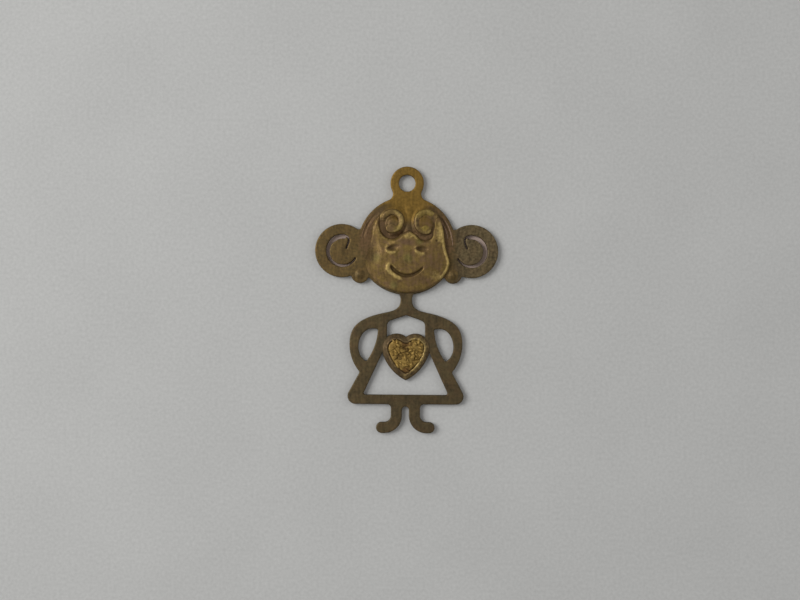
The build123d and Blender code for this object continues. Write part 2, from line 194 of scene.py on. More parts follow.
@dataclass
class Outline:
    """Closed loops round a flat region, in millimetres, with the region on the left of every edge."""

    loops: list[np.ndarray]
    points: np.ndarray = field(init=False)
    following: np.ndarray = field(init=False)
    preceding: np.ndarray = field(init=False)
    tree: KDTree = field(init=False)

    def __post_init__(self) -> None:
        """Indexes the loops' points and puts them in a search tree."""
        self.points = np.concatenate(self.loops)
        self.following = np.empty(len(self.points), int)
        start = 0
        for loop in self.loops:
            ring = np.arange(start, start + len(loop))
            self.following[ring] = np.roll(ring, -1)
            start += len(loop)
        self.preceding = np.empty_like(self.following)
        self.preceding[self.following] = np.arange(len(self.points))
        self.tree = KDTree(len(self.points))
        for index, (x, y) in enumerate(self.points):
            self.tree.insert((x, y, 0.0), index)
        self.tree.balance()

    @classmethod
    def under(cls, node: str, step: float, outer_only: bool = False) -> "Outline":
        """Reads the loops round the underside of a CAD node.

        Args:
            node: the CAD node's name.
            step: longest distance between two points of a loop.
            outer_only: leave out the loops round holes.

        Returns:
            The outline, seen from the front.
        """
        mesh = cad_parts[node].data
        places = np.empty(len(mesh.vertices) * 3)
        mesh.vertices.foreach_get("co", places)
        places = places.reshape(-1, 3) / MM
        corners = np.empty(len(mesh.loops), int)
        mesh.loops.foreach_get("vertex_index", corners)
        keys, merged = np.unique(np.round(places, MERGE_DIGITS), axis=0, return_inverse=True)
        triangles = merged.reshape(-1)[corners].reshape(-1, 3)
        low = keys[:, 2] < keys[:, 2].min() + FLAT_GAP
        edges = {
            (int(tri[i]), int(tri[(i + 1) % 3]))
            for tri in triangles[low[triangles].all(axis=1)]
            for i in range(3)
        }
        ahead = {b: a for a, b in edges if (b, a) not in edges}
        loops = []
        while ahead:
            first = here = next(iter(ahead))
            ring = []
            while here in ahead:
                ring.append(keys[here, :2])
                here = ahead.pop(here)
            if here == first and len(ring) > 2:
                loops.append(cls.divided(np.array(ring), step))
        loops.sort(key=cls.area, reverse=True)
        return cls(loops[:1] if outer_only else loops)

    @staticmethod
    def area(loop: np.ndarray) -> float:
        """Signed area of a loop, positive where it runs anticlockwise."""
        ahead = np.roll(loop, -1, axis=0)
        return float(np.sum(loop[:, 0] * ahead[:, 1] - ahead[:, 0] * loop[:, 1]) / 2)

    @staticmethod
    def divided(loop: np.ndarray, step: float) -> np.ndarray:
        """A loop with its long edges divided and its shortest ones dropped.

        Args:
            loop: the loop's points.
            step: longest distance between two points.

        Returns:
            The new points.
        """
        ahead = np.roll(loop, -1, axis=0)
        loop = loop[np.linalg.norm(ahead - loop, axis=1) > step * SHORT_SHARE]
        ahead = np.roll(loop, -1, axis=0)
        made = []
        for a, b in zip(loop, ahead):
            count = max(1, math.ceil(np.linalg.norm(b - a) / step))
            made += [a + (b - a) * i / count for i in range(count)]
        return np.array(made)

    def grown(self, reach: float | np.ndarray) -> "Outline":
        """The same outline drawn outwards by a small reach.

        Args:
            reach: distance that every point moves out, or a column of one for each.

        Returns:
            The larger outline.
        """
        places = self.points - self.inward() * reach
        ends = np.cumsum([len(loop) for loop in self.loops])
        return Outline(np.split(places, ends[:-1]))

    def left_of(self, edge: np.ndarray) -> np.ndarray:
        """Unit normals of edges, into the region.

        Args:
            edge: indices of the points that the edges start at.

        Returns:
            One normal for each edge.
        """
        run = self.points[self.following[edge]] - self.points[edge]
        normal = np.column_stack([-run[:, 1], run[:, 0]])
        return normal / np.linalg.norm(normal, axis=1, keepdims=True)

    def inward(self) -> np.ndarray:
        """Unit normals into the region at every point of the outline.

        Returns:
            One normal for each point.
        """
        every = np.arange(len(self.points))
        normal = self.left_of(every) + self.left_of(self.preceding)
        return normal / np.linalg.norm(normal, axis=1, keepdims=True)

    def inset(self, places: np.ndarray) -> np.ndarray:
        """Distances from places to the outline, negative outside the region.

        Args:
            places: points to measure.

        Returns:
            Signed distances.
        """
        nearest = np.array([self.tree.find((x, y, 0.0))[1] for x, y in places], int)
        corner = np.einsum("ij,ij->i", places - self.points[nearest], self.inward()[nearest])
        best = np.full(len(places), np.inf)
        sign = np.ones(len(places))
        for start in (nearest, self.preceding[nearest]):
            a = self.points[start]
            run = self.points[self.following[start]] - a
            share = np.einsum("ij,ij->i", places - a, run) / np.einsum("ij,ij->i", run, run)
            gap = places - a - run * np.clip(share, 0.0, 1.0)[:, None]
            distance = np.linalg.norm(gap, axis=1)
            inner = np.einsum("ij,ij->i", places - a, self.left_of(start))
            closer = distance < best - TIE_GAP
            tied = ~closer & (distance < best + TIE_GAP)
            sign = np.where(closer, np.sign(inner), np.where(tied, np.sign(corner), sign))
            best = np.minimum(best, distance)
        return best * np.where(sign < 0, -1.0, 1.0)


@dataclass
class Relief:
    """A closed piece with a flat outline and a front whose height follows a rule."""

    outline: Outline
    height: Heights
    masks: Masks
    base_z: float
    pitch: float
    edge_rings: tuple[float, ...]
    back_r: float = 0.0

    def ring(self, reach: float) -> tuple[np.ndarray, np.ndarray]:
        """Points at a distance inside the outline, without those that come too near another part of it.

        Args:
            reach: the distance.

        Returns:
            The points and their distances from the outline.
        """
        places = self.outline.points + self.outline.inward() * reach
        inset = self.outline.inset(places)
        good = inset > RING_SHARE * reach
        return places[good], inset[good]

    def seeds(self) -> tuple[np.ndarray, np.ndarray]:
        """Points inside the outline: rings along its edge and an even field beyond them.

        Returns:
            The points and their distances from the outline.
        """
        kept = [self.ring(reach) for reach in self.edge_rings]
        low = self.outline.points.min(axis=0)
        high = self.outline.points.max(axis=0)
        rows = np.arange(low[1], high[1], self.pitch * math.sqrt(3) / 2)
        columns = np.arange(low[0], high[0], self.pitch)
        x, y = np.meshgrid(columns, rows)
        x = x + np.where(np.arange(len(rows)) % 2, self.pitch / 2, 0.0)[:, None]
        places = np.column_stack([x.ravel(), y.ravel()])
        inset = self.outline.inset(places)
        good = inset > self.edge_rings[-1] + self.pitch * FIELD_SHARE
        kept.append((places[good], inset[good]))
        return np.concatenate([k[0] for k in kept]), np.concatenate([k[1] for k in kept])

    def triangles(self, places: np.ndarray) -> np.ndarray:
        """Triangles over the region through the outline's points followed by others.

        Args:
            places: the outline's points, then the inner ones.

        Returns:
            Corner indices, anticlockwise from the front.
        """
        following = self.outline.following
        edges = [(i, int(j)) for i, j in enumerate(following)]
        flat = [Vector((x, y)) for x, y in places]
        made = delaunay_2d_cdt(flat, edges, [], 0, DRAW_GAP)
        origin = np.array([sources[0] if sources else -1 for sources in made[3]], int)
        corners = origin[np.array(made[2], int)]
        corners = corners[(corners >= 0).all(axis=1)]
        a, b, c = (places[corners[:, i]] for i in range(3))
        turn = (b - a)[:, 0] * (c - a)[:, 1] - (b - a)[:, 1] * (c - a)[:, 0]
        corners[turn < 0] = corners[turn < 0][:, ::-1]
        corners = corners[np.abs(turn) > FLAT_AREA]
        inside = self.outline.inset(places[corners].mean(axis=1)) > 0
        ahead = np.append(following, np.full(len(places) - len(following), -1))
        for i in range(3):
            here = corners[:, i]
            there = corners[:, (i + 1) % 3]
            inside |= ahead[here] == there
            inside &= ahead[there] != here
        return corners[inside]

    def mesh(self, name: str) -> bpy.types.Mesh:
        """Builds the closed mesh with its masks.

        Args:
            name: name of the mesh.

        Returns:
            The mesh, in metres.
        """
        edge = self.outline.points
        rim = len(edge)
        inner, inset = self.seeds()
        front = np.concatenate([edge, inner])
        depth = np.concatenate([np.zeros(rim), inset])
        tops = np.column_stack([front, self.height(front, depth)])
        back = np.concatenate([edge, self.ring(self.back_r)[0]]) if self.back_r else edge
        drop = np.where(np.arange(len(back)) < rim, self.back_r, 0.0)
        bottoms = np.column_stack([back, self.base_z + drop])
        start = len(tops)
        here = np.arange(rim)
        ahead = self.outline.following
        faces = np.concatenate([
            self.triangles(front),
            self.triangles(back)[:, ::-1] + start,
            np.column_stack([here, here + start, ahead + start]),
            np.column_stack([here, ahead + start, ahead]),
        ])
        mesh = bpy.data.meshes.new(name)
        mesh.from_pydata((np.concatenate([tops, bottoms]) * MM).tolist(), [], faces.tolist())
        self.paint(mesh, np.concatenate([front, back]), np.concatenate([depth, np.zeros(len(back))]))
        mesh.shade_smooth()
        mesh.update()
        return mesh

    def paint(self, mesh: bpy.types.Mesh, places: np.ndarray, inset: np.ndarray) -> None:
        """Stores the masks on a mesh.

        Args:
            mesh: the mesh.
            places: its points, seen from the front.
            inset: their distances from the outline.
        """
        found = self.masks(places, inset)
        for mask in Mask:
            values = found.get(mask.value, np.zeros(len(places)))
            made = mesh.attributes.new(mask.value, "FLOAT", "POINT")
            made.data.foreach_set("value", np.clip(values, 0.0, 1.0).astype(np.float32))


class NodeSheet:
    """A node tree with short calls to add and join its nodes."""

    def __init__(self, tree: bpy.types.NodeTree) -> None:
        """Takes over an empty tree."""
        self.tree = tree

    @classmethod
    def grouped(cls, name: str, kind: str, inputs: dict[str, str], outputs: dict[str, str]) -> "NodeSheet":
        """Makes an empty group with named sockets.

        Args:
            name: the group's name.
            kind: the type of its tree.
            inputs: input names and the kinds of their sockets.
            outputs: output names and the kinds of their sockets.

        Returns:
            The group's sheet.
        """
        tree = bpy.data.node_groups.new(name, kind)
        for way, sockets in (("INPUT", inputs), ("OUTPUT", outputs)):
            for label, socket in sockets.items():
                tree.interface.new_socket(label, in_out=way, socket_type=f"NodeSocket{socket}")
        return cls(tree)

    @classmethod
    def geometry(cls, name: str, numbers: tuple[str, ...], counts: tuple[str, ...]) -> "NodeSheet":
        """Makes an empty geometry tree with named number and count inputs beside its geometry."""
        inputs = {"Geometry": "Geometry", **dict.fromkeys(numbers, "Float"), **dict.fromkeys(counts, "Int")}
        return cls.grouped(name, "GeometryNodeTree", inputs, {"Geometry": "Geometry"})

    def close(self, shape: Socket, material: bpy.types.Material) -> bpy.types.NodeTree:
        """Ends a geometry tree in real geometry that carries its material.

        Args:
            shape: socket of the geometry.
            material: the finish.

        Returns:
            The tree.
        """
        real = self.add("GeometryNodeRealizeInstances", {"Geometry": shape}).outputs[0]
        dressed = self.add("GeometryNodeSetMaterial", {"Geometry": real, "Material": material})
        self.add("NodeGroupOutput", {"Geometry": dressed.outputs[0]})
        return self.tree

    def add(self, kind: str, values: dict | None = None, **settings: object) -> bpy.types.Node:
        """Adds a node.

        Args:
            kind: the node's type name.
            values: input name or index to a value, or to a socket to link.
            **settings: properties of the node.

        Returns:
            The node.
        """
        node = self.tree.nodes.new(kind)
        for key, value in settings.items():
            setattr(node, key, value)
        for key, value in (values or {}).items():
            if isinstance(value, Socket):
                self.tree.links.new(value, node.inputs[key])
            else:
                node.inputs[key].default_value = value
        return node

    def group(self, tree: bpy.types.NodeTree, values: dict) -> Sockets:
        """Places a shared group with its own values and gives its outputs."""
        return self.add("ShaderNodeGroup", values, node_tree=tree).outputs

    def math(self, operation: str, *values: object) -> Socket:
        """A Math node's result from numbers or sockets."""
        return self.add("ShaderNodeMath", dict(enumerate(values)), operation=operation).outputs[0]

    def noise(self, place: Socket, scale: object, detail: float) -> Socket:
        """A noise texture's value at places."""
        values = {"Vector": place, "Scale": scale, "Detail": detail}
        return self.add("ShaderNodeTexNoise", values).outputs["Fac"]

    def vector(self, **parts: object) -> Socket:
        """A vector from its X, Y and Z parts, each a number or a socket and 0 where it isn't given."""
        return self.add("ShaderNodeCombineXYZ", parts).outputs[0]

    def spread(self, value: Socket, start: tuple, end: tuple = (0.0, 1.0), eased: bool = False) -> Socket:
        """Maps a value from one range to another and stops at its ends.

        Args:
            value: the value's socket.
            start: least and most of the value, numbers or sockets.
            end: what they become, numbers or sockets.
            eased: ease in and out of the ends.

        Returns:
            The output socket.
        """
        ends = dict(zip(("From Min", "From Max", "To Min", "To Max"), (*start, *end)))
        kind = "SMOOTHSTEP" if eased else "LINEAR"
        return self.add("ShaderNodeMapRange", {"Value": value, **ends}, interpolation_type=kind).outputs[0]

    def mix(self, share: object, a: object, b: object, blend: str = "MIX") -> Socket:
        """A colour mix.

        Args:
            share: number or socket, 0 for a and 1 for b.
            a: colour or socket.
            b: colour or socket.
            blend: how b is laid over a.

        Returns:
            The output socket.
        """
        first, second = (end if isinstance(end, Socket) else (*end, 1.0) for end in (a, b))
        values = {MIX_SHARE: share, MIX_A: first, MIX_B: second}
        return self.add("ShaderNodeMix", values, data_type="RGBA", blend_type=blend).outputs[MIX_RESULT]


class SharedEffects:
    """Shader groups that every brass finish uses."""

    cloud_shares: Span = (0.7, 0.3)
    cloud_ratio: float = 6.3
    bite_scale: float = 2600.0
    bite_span: Span = (0.15, 0.85)
    scratch_turn: float = 0.04
    scratch_scale: Triple = (2700.0, 330.0, 2500.0)
    tint_span: Span = (0.7, 1.3)

    def __init__(self) -> None:
        """Builds each group once."""
        self.tarnish = self.build_tarnish()
        self.rubbing = self.build_rubbing()
        self.grain = self.build_grain()

    @staticmethod
    def start(
        name: str, inputs: tuple[str, ...], outputs: tuple[str, ...]
    ) -> tuple[NodeSheet, Sockets, Socket]:
        """Makes an empty group with named number sockets.

        Args:
            name: the group's name.
            inputs: input names.
            outputs: output names.

        Returns:
            The group's sheet, its inputs and the place on the piece.
        """
        numbers = (dict.fromkeys(labels, "Float") for labels in (inputs, outputs))
        sheet = NodeSheet.grouped(name, "ShaderNodeTree", *numbers)
        place = sheet.add("ShaderNodeTexCoord").outputs["Object"]
        return sheet, sheet.add("NodeGroupInput").outputs, place

    def build_tarnish(self) -> bpy.types.NodeTree:
        """Cloudy patches of tarnish, from broad clouds broken up by finer ones.

        Returns:
            The group.
        """
        sheet, given, place = self.start("tarnish", ("Patches", "Balance", "Softness"), ("Mask",))
        broad = sheet.noise(place, given["Patches"], 4.0)
        fine = sheet.noise(place, sheet.math("MULTIPLY", given["Patches"], self.cloud_ratio), 3.0)
        broken = sheet.math("MULTIPLY", fine, self.cloud_shares[1])
        clouds = sheet.math("MULTIPLY_ADD", broad, self.cloud_shares[0], broken)
        low = sheet.math("SUBTRACT", given["Balance"], given["Softness"])
        high = sheet.math("ADD", given["Balance"], given["Softness"])
        sheet.add("NodeGroupOutput", {"Mask": sheet.spread(clouds, (low, high), eased=True)})
        return sheet.tree

    def build_rubbing(self) -> bpy.types.NodeTree:
        """Breaks up a mask into the ragged patches that rubbing or dirt leaves.

        Returns:
            The group.
        """
        sheet, given, place = self.start("rubbing", ("Mask", "Amount", "Raggedness"), ("Mask",))
        uneven = sheet.math("SUBTRACT", sheet.noise(place, self.bite_scale, 3.0), 0.5)
        bite = sheet.math("MULTIPLY", uneven, given["Raggedness"])
        bitten = sheet.math("MULTIPLY_ADD", bite, 2.0, given["Mask"])
        ragged = sheet.spread(bitten, self.bite_span, eased=True)
        sheet.add("NodeGroupOutput", {"Mask": sheet.math("MULTIPLY", ragged, given["Amount"])})
        return sheet.tree

    def build_grain(self) -> bpy.types.NodeTree:
        """Fine pits, rubbed scratches and specks: a height, a spread for the roughness and a tint.

        Returns:
            The group.
        """
        inputs = ("Pits", "Scratches", "Specks")
        sheet, given, place = self.start("grain", inputs, ("Height", "Spread", "Tint"))
        pits = sheet.noise(place, given["Pits"], 4.0)
        turned = sheet.add(
            "ShaderNodeMapping",
            {"Vector": place, "Rotation": (0.0, 0.0, self.scratch_turn), "Scale": self.scratch_scale},
        )
        lines = sheet.noise(turned.outputs[0], 1.0, 2.0)
        height = sheet.math("ADD", pits, sheet.math("MULTIPLY", lines, given["Scratches"]))
        both = sheet.math("ADD", lines, sheet.noise(place, given["Specks"], 2.0))
        tint = sheet.spread(both, self.tint_span)
        sheet.add("NodeGroupOutput", {"Height": height, "Spread": pits, "Tint": tint})
        return sheet.tree


@dataclass(frozen=True)
class BrassFinish:
    """One state of old brass, by the colours of its layers from bare metal to the dirt in the hollows; the
    bare and dark layers also lay painted highlights and painted shade.

    Amounts and raggedness are given for each mask in turn.
    """

    name: str
    bare: Colour
    aged: Colour
    dark: Colour
    gilt: Colour
    stain: Colour
    patches: float = 420.0
    balance: float = 0.5
    softness: float = 0.16
    blot_ratio: float = 2.3
    blot_balance: float = 0.53
    blot_softness: float = 0.09
    amounts: tuple[float, ...] = (0.8, 0.85, 1.0, 1.0)
    ragged: tuple[float, ...] = (0.35, 0.3, 0.12, 0.5)
    mottling: float = 0.5
    streaks: float = 0.35
    pits: float = 6000.0
    scratches: float = 0.5
    specks: float = 2600.0
    dirt_shade: float = 0.35
    dirt_rough: float = 0.25
    metallic: float = 0.75
    specular: float = 0.3
    pit_span: Span = (0.3, 0.7)
    roughness: Span = (0.44, 0.64)
    bump_m: float = 0.00003
    bump_strength: float = 0.5

    def material(self, effects: SharedEffects) -> bpy.types.Material:
        """Builds the finish's material.

        Args:
            effects: the shared shader groups.

        Returns:
            The material.
        """
        made = bpy.data.materials.new(self.name)
        made.use_nodes = True
        made.node_tree.nodes.clear()
        sheet = NodeSheet(made.node_tree)
        grain = sheet.group(
            effects.grain, {"Pits": self.pits, "Scratches": self.scratches, "Specks": self.specks}
        )
        rubbed = self.rubbed(sheet, effects)
        colour = self.layered(sheet, effects, rubbed)
        tint = sheet.spread(grain["Tint"], (0.0, 1.0), (1.0 - self.streaks, 1.0 + self.streaks))
        colour = sheet.add("ShaderNodeVectorMath", {0: colour, "Scale": tint}, operation="SCALE").outputs[0]
        rough = sheet.spread(grain["Spread"], self.pit_span, self.roughness)
        rough = sheet.math("MULTIPLY_ADD", rubbed[Mask.GRIME], self.dirt_rough, rough)
        bump = sheet.add(
            "ShaderNodeBump",
            {"Strength": self.bump_strength, "Distance": self.bump_m, "Height": grain["Height"]},
        )
        shader = sheet.add(
            "ShaderNodeBsdfPrincipled",
            {"Base Color": colour, "Roughness": rough, "Normal": bump.outputs[0], "Metallic": self.metallic,
             "Specular IOR Level": self.specular},
        )
        sheet.add("ShaderNodeOutputMaterial", {"Surface": shader.outputs[0]})
        return made

    def rubbed(self, sheet: NodeSheet, effects: SharedEffects) -> dict[Mask, Socket]:
        """Reads the relief's masks and breaks each up into ragged patches.

        Args:
            sheet: the material's node sheet.
            effects: the shared shader groups.

        Returns:
            A socket for each mask.
        """
        made = {}
        for mask, amount, ragged in zip(Mask, self.amounts, self.ragged):
            share = sheet.add("ShaderNodeAttribute", attribute_name=mask.value).outputs["Fac"]
            values = {"Mask": share, "Amount": amount, "Raggedness": ragged}
            made[mask] = sheet.group(effects.rubbing, values)["Mask"]
        return made

    def layered(self, sheet: NodeSheet, effects: SharedEffects, rubbed: dict[Mask, Socket]) -> Socket:
        """Lays the brass's colours over each other.

        Args:
            sheet: the material's node sheet.
            effects: the shared shader groups.
            rubbed: a socket for each mask.

        Returns:
            The colour's socket.
        """
        clouds = {"Patches": self.patches, "Balance": self.balance, "Softness": self.softness}
        patches = sheet.group(effects.tarnish, clouds)["Mask"]
        fine = self.patches * self.blot_ratio
        clouds = {"Patches": fine, "Balance": self.blot_balance, "Softness": self.blot_softness}
        blots = sheet.math("MULTIPLY", sheet.group(effects.tarnish, clouds)["Mask"], self.mottling)
        colour = sheet.mix(patches, self.aged, self.dark)
        for share, layer in (
            (blots, self.stain),
            (rubbed[Mask.GILT], self.gilt),
            (rubbed[Mask.STAIN], self.stain),
            # The wear layer also lays painted highlights, and the grime layer painted shade.
            (rubbed[Mask.WEAR], self.bare),
            (rubbed[Mask.GRIME], tuple(self.dirt_shade * part for part in self.dark)),
        ):
            colour = sheet.mix(share, colour, layer)
        return colour


BODY_BRASS = BrassFinish(
    name="dark_body_brass",
    bare=(0.22, 0.165, 0.085),
    aged=(0.100, 0.074, 0.035),
    dark=(0.070, 0.052, 0.027),
    gilt=(0.192, 0.114, 0.024),
    stain=(0.135, 0.080, 0.038),
    mottling=0.3,
    streaks=0.27,
)
FACE_BRASS = BrassFinish(
    name="worn_face_brass",
    bare=(0.44, 0.32, 0.11),
    aged=(0.205, 0.137, 0.040),
    dark=(0.155, 0.096, 0.036),
    gilt=(0.165, 0.135, 0.040),
    stain=(0.138, 0.083, 0.042),
    patches=560.0,
    balance=0.52,
    mottling=0.75,
    streaks=0.3,
)
CURL_BRASS = BrassFinish(
    name="rubbed_curl_brass",
    bare=(0.27, 0.195, 0.066),
    aged=(0.165, 0.108, 0.038),
    dark=(0.118, 0.074, 0.030),
    gilt=(0.235, 0.165, 0.040),
    stain=(0.105, 0.064, 0.034),
    streaks=0.3,
)
HAIR_BRASS = BrassFinish(
    name="pink_hair_brass",
    bare=(0.30, 0.205, 0.145),
    aged=(0.20, 0.130, 0.080),
    dark=(0.12, 0.070, 0.036),
    gilt=(0.235, 0.165, 0.040),
    stain=(0.105, 0.060, 0.030),
    streaks=0.3,
)
SETTING_BRASS = BrassFinish(
    name="dark_setting_brass",
    bare=(0.43, 0.31, 0.115),
    aged=(0.142, 0.098, 0.046),
    dark=(0.106, 0.070, 0.036),
    gilt=(0.3, 0.22, 0.09),
    stain=(0.085, 0.052, 0.028),
    mottling=0.3,
)
INLAY_BRASS = BrassFinish(
    name="nugget_brass",
    bare=(0.60, 0.45, 0.16),
    aged=(0.455, 0.306, 0.089),
    dark=(0.26, 0.165, 0.045),
    gilt=(0.4, 0.3, 0.11),
    stain=(0.18, 0.095, 0.034),
    patches=900.0,
    balance=0.56,
    mottling=0.35,
    streaks=0.2,
    roughness=(0.5, 0.68),
)


@dataclass
class Piece:
    """A finished piece of the charm and how it is tied to the frame."""

    name: str
    mesh: bpy.types.Mesh
    material: bpy.types.Material
    slot: Slot
    node: str | None = None

    def place(self) -> None:
        """Puts the piece in the scene, on its body and in its CAD node's stead."""
        if not self.mesh.materials:
            self.mesh.materials.append(self.material)
        made = bpy.data.objects.new(self.name, self.mesh)
        bpy.context.scene.collection.objects.link(made)
        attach(made, BODY)
        if self.node:
            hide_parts(self.node)
        log.info("%s: %d triangles", self.name, sum(len(p.vertices) - 2 for p in self.mesh.polygons))


@dataclass
class HeadDome:
    """The head's middle and the shallow ball that face and curls are pressed over, a little askew on it."""

    head_y: float = -9.35
    ear_x: float = 9.86
    ear_drop: float = 0.8
    face_shift: float = 0.17
    face_turn: float = -2.5
    rim_z: float = 1.25
    crown_h: float = 0.6
    face_r: float = 7.1
    bowl_x: float = 2.54
    bowl_up: float = 3.15
    bowl_w: float = 3.7
    bowl_h: float = 4.5
    ring_up: float = 3.55
    ring_ease: Span = (-0.6, 0.0)
    hollow_turn: float = 325.0
    lead_turn: Stretch = Stretch(36.0, 56.0, 60.0, 95.0)
    lift: float = 0.2
    lift_up: Span = (3.2, 4.8)
    right_x: Span = (0.0, 1.5)

    def from_head(self, places: np.ndarray) -> tuple[np.ndarray, np.ndarray]:
        """Places seen from the middle of the head, across and up."""
        return places[:, 0], places[:, 1] - self.head_y

    def from_face(self, places: np.ndarray) -> tuple[np.ndarray, np.ndarray]:
        """Places seen from the middle of the face, across and up.

        Args:
            places: points of the charm.

        Returns:
            Distances across and up, along the face's own lines.
        """
        x = places[:, 0] - self.face_shift
        y = places[:, 1] - self.head_y
        turn = math.radians(self.face_turn)
        return x * math.cos(turn) + y * math.sin(turn), y * math.cos(turn) - x * math.sin(turn)

    def right(self, across: np.ndarray) -> np.ndarray:
        """0 on the left of the middle line, eased to 1 on its right."""
        return ease(self.right_x, across)

    def height(self, across: np.ndarray, up: np.ndarray) -> np.ndarray:
        """Height of the dome above the back of the charm."""
        ball_r = (self.face_r**2 + self.crown_h**2) / (2 * self.crown_h)
        return self.rim_z + self.crown_h - ball_r + np.sqrt(ball_r**2 - across**2 - up**2)

    def bowl(self, across: np.ndarray, up: np.ndarray) -> np.ndarray:
        """How far places are from the middle of the nearer curl's bowl, 1 at its edge."""
        aside = (np.abs(across) - self.bowl_x) / (self.bowl_w / 2)
        return np.hypot(aside, (up - self.bowl_up) / (self.bowl_h / 2))

    def ring(self, across: np.ndarray, up: np.ndarray) -> tuple[np.ndarray, np.ndarray]:
        """Places seen from the middle of the nearer curl's ring.

        Args:
            across: distance from the face's middle line.
            up: height above the middle of the face.

        Returns:
            Distances from the ring's middle, and degrees round it from the middle of its open side.
        """
        aside = np.abs(across) - self.bowl_x
        above = up - self.ring_up
        turn = np.degrees(np.arctan2(above, aside)) - self.hollow_turn
        return np.hypot(aside, above), np.abs((turn + 180.0) % 360.0 - 180.0)

    def upper(self, up: np.ndarray) -> np.ndarray:
        """1 above the middle of the curls' rings, eased to 0 below it."""
        return ease(self.ring_ease, up - self.ring_up)

    def lead(self, across: np.ndarray, up: np.ndarray) -> np.ndarray:
        """Share of the curls' way from the temples to the top of their rings."""
        return self.lead_turn.share(self.ring(across, up)[1]) * self.upper(up)

    def drawn_up(self, up: np.ndarray) -> np.ndarray:
        """How far the right curl's upper half is drawn up."""
        return self.lift * ease(self.lift_up, up)


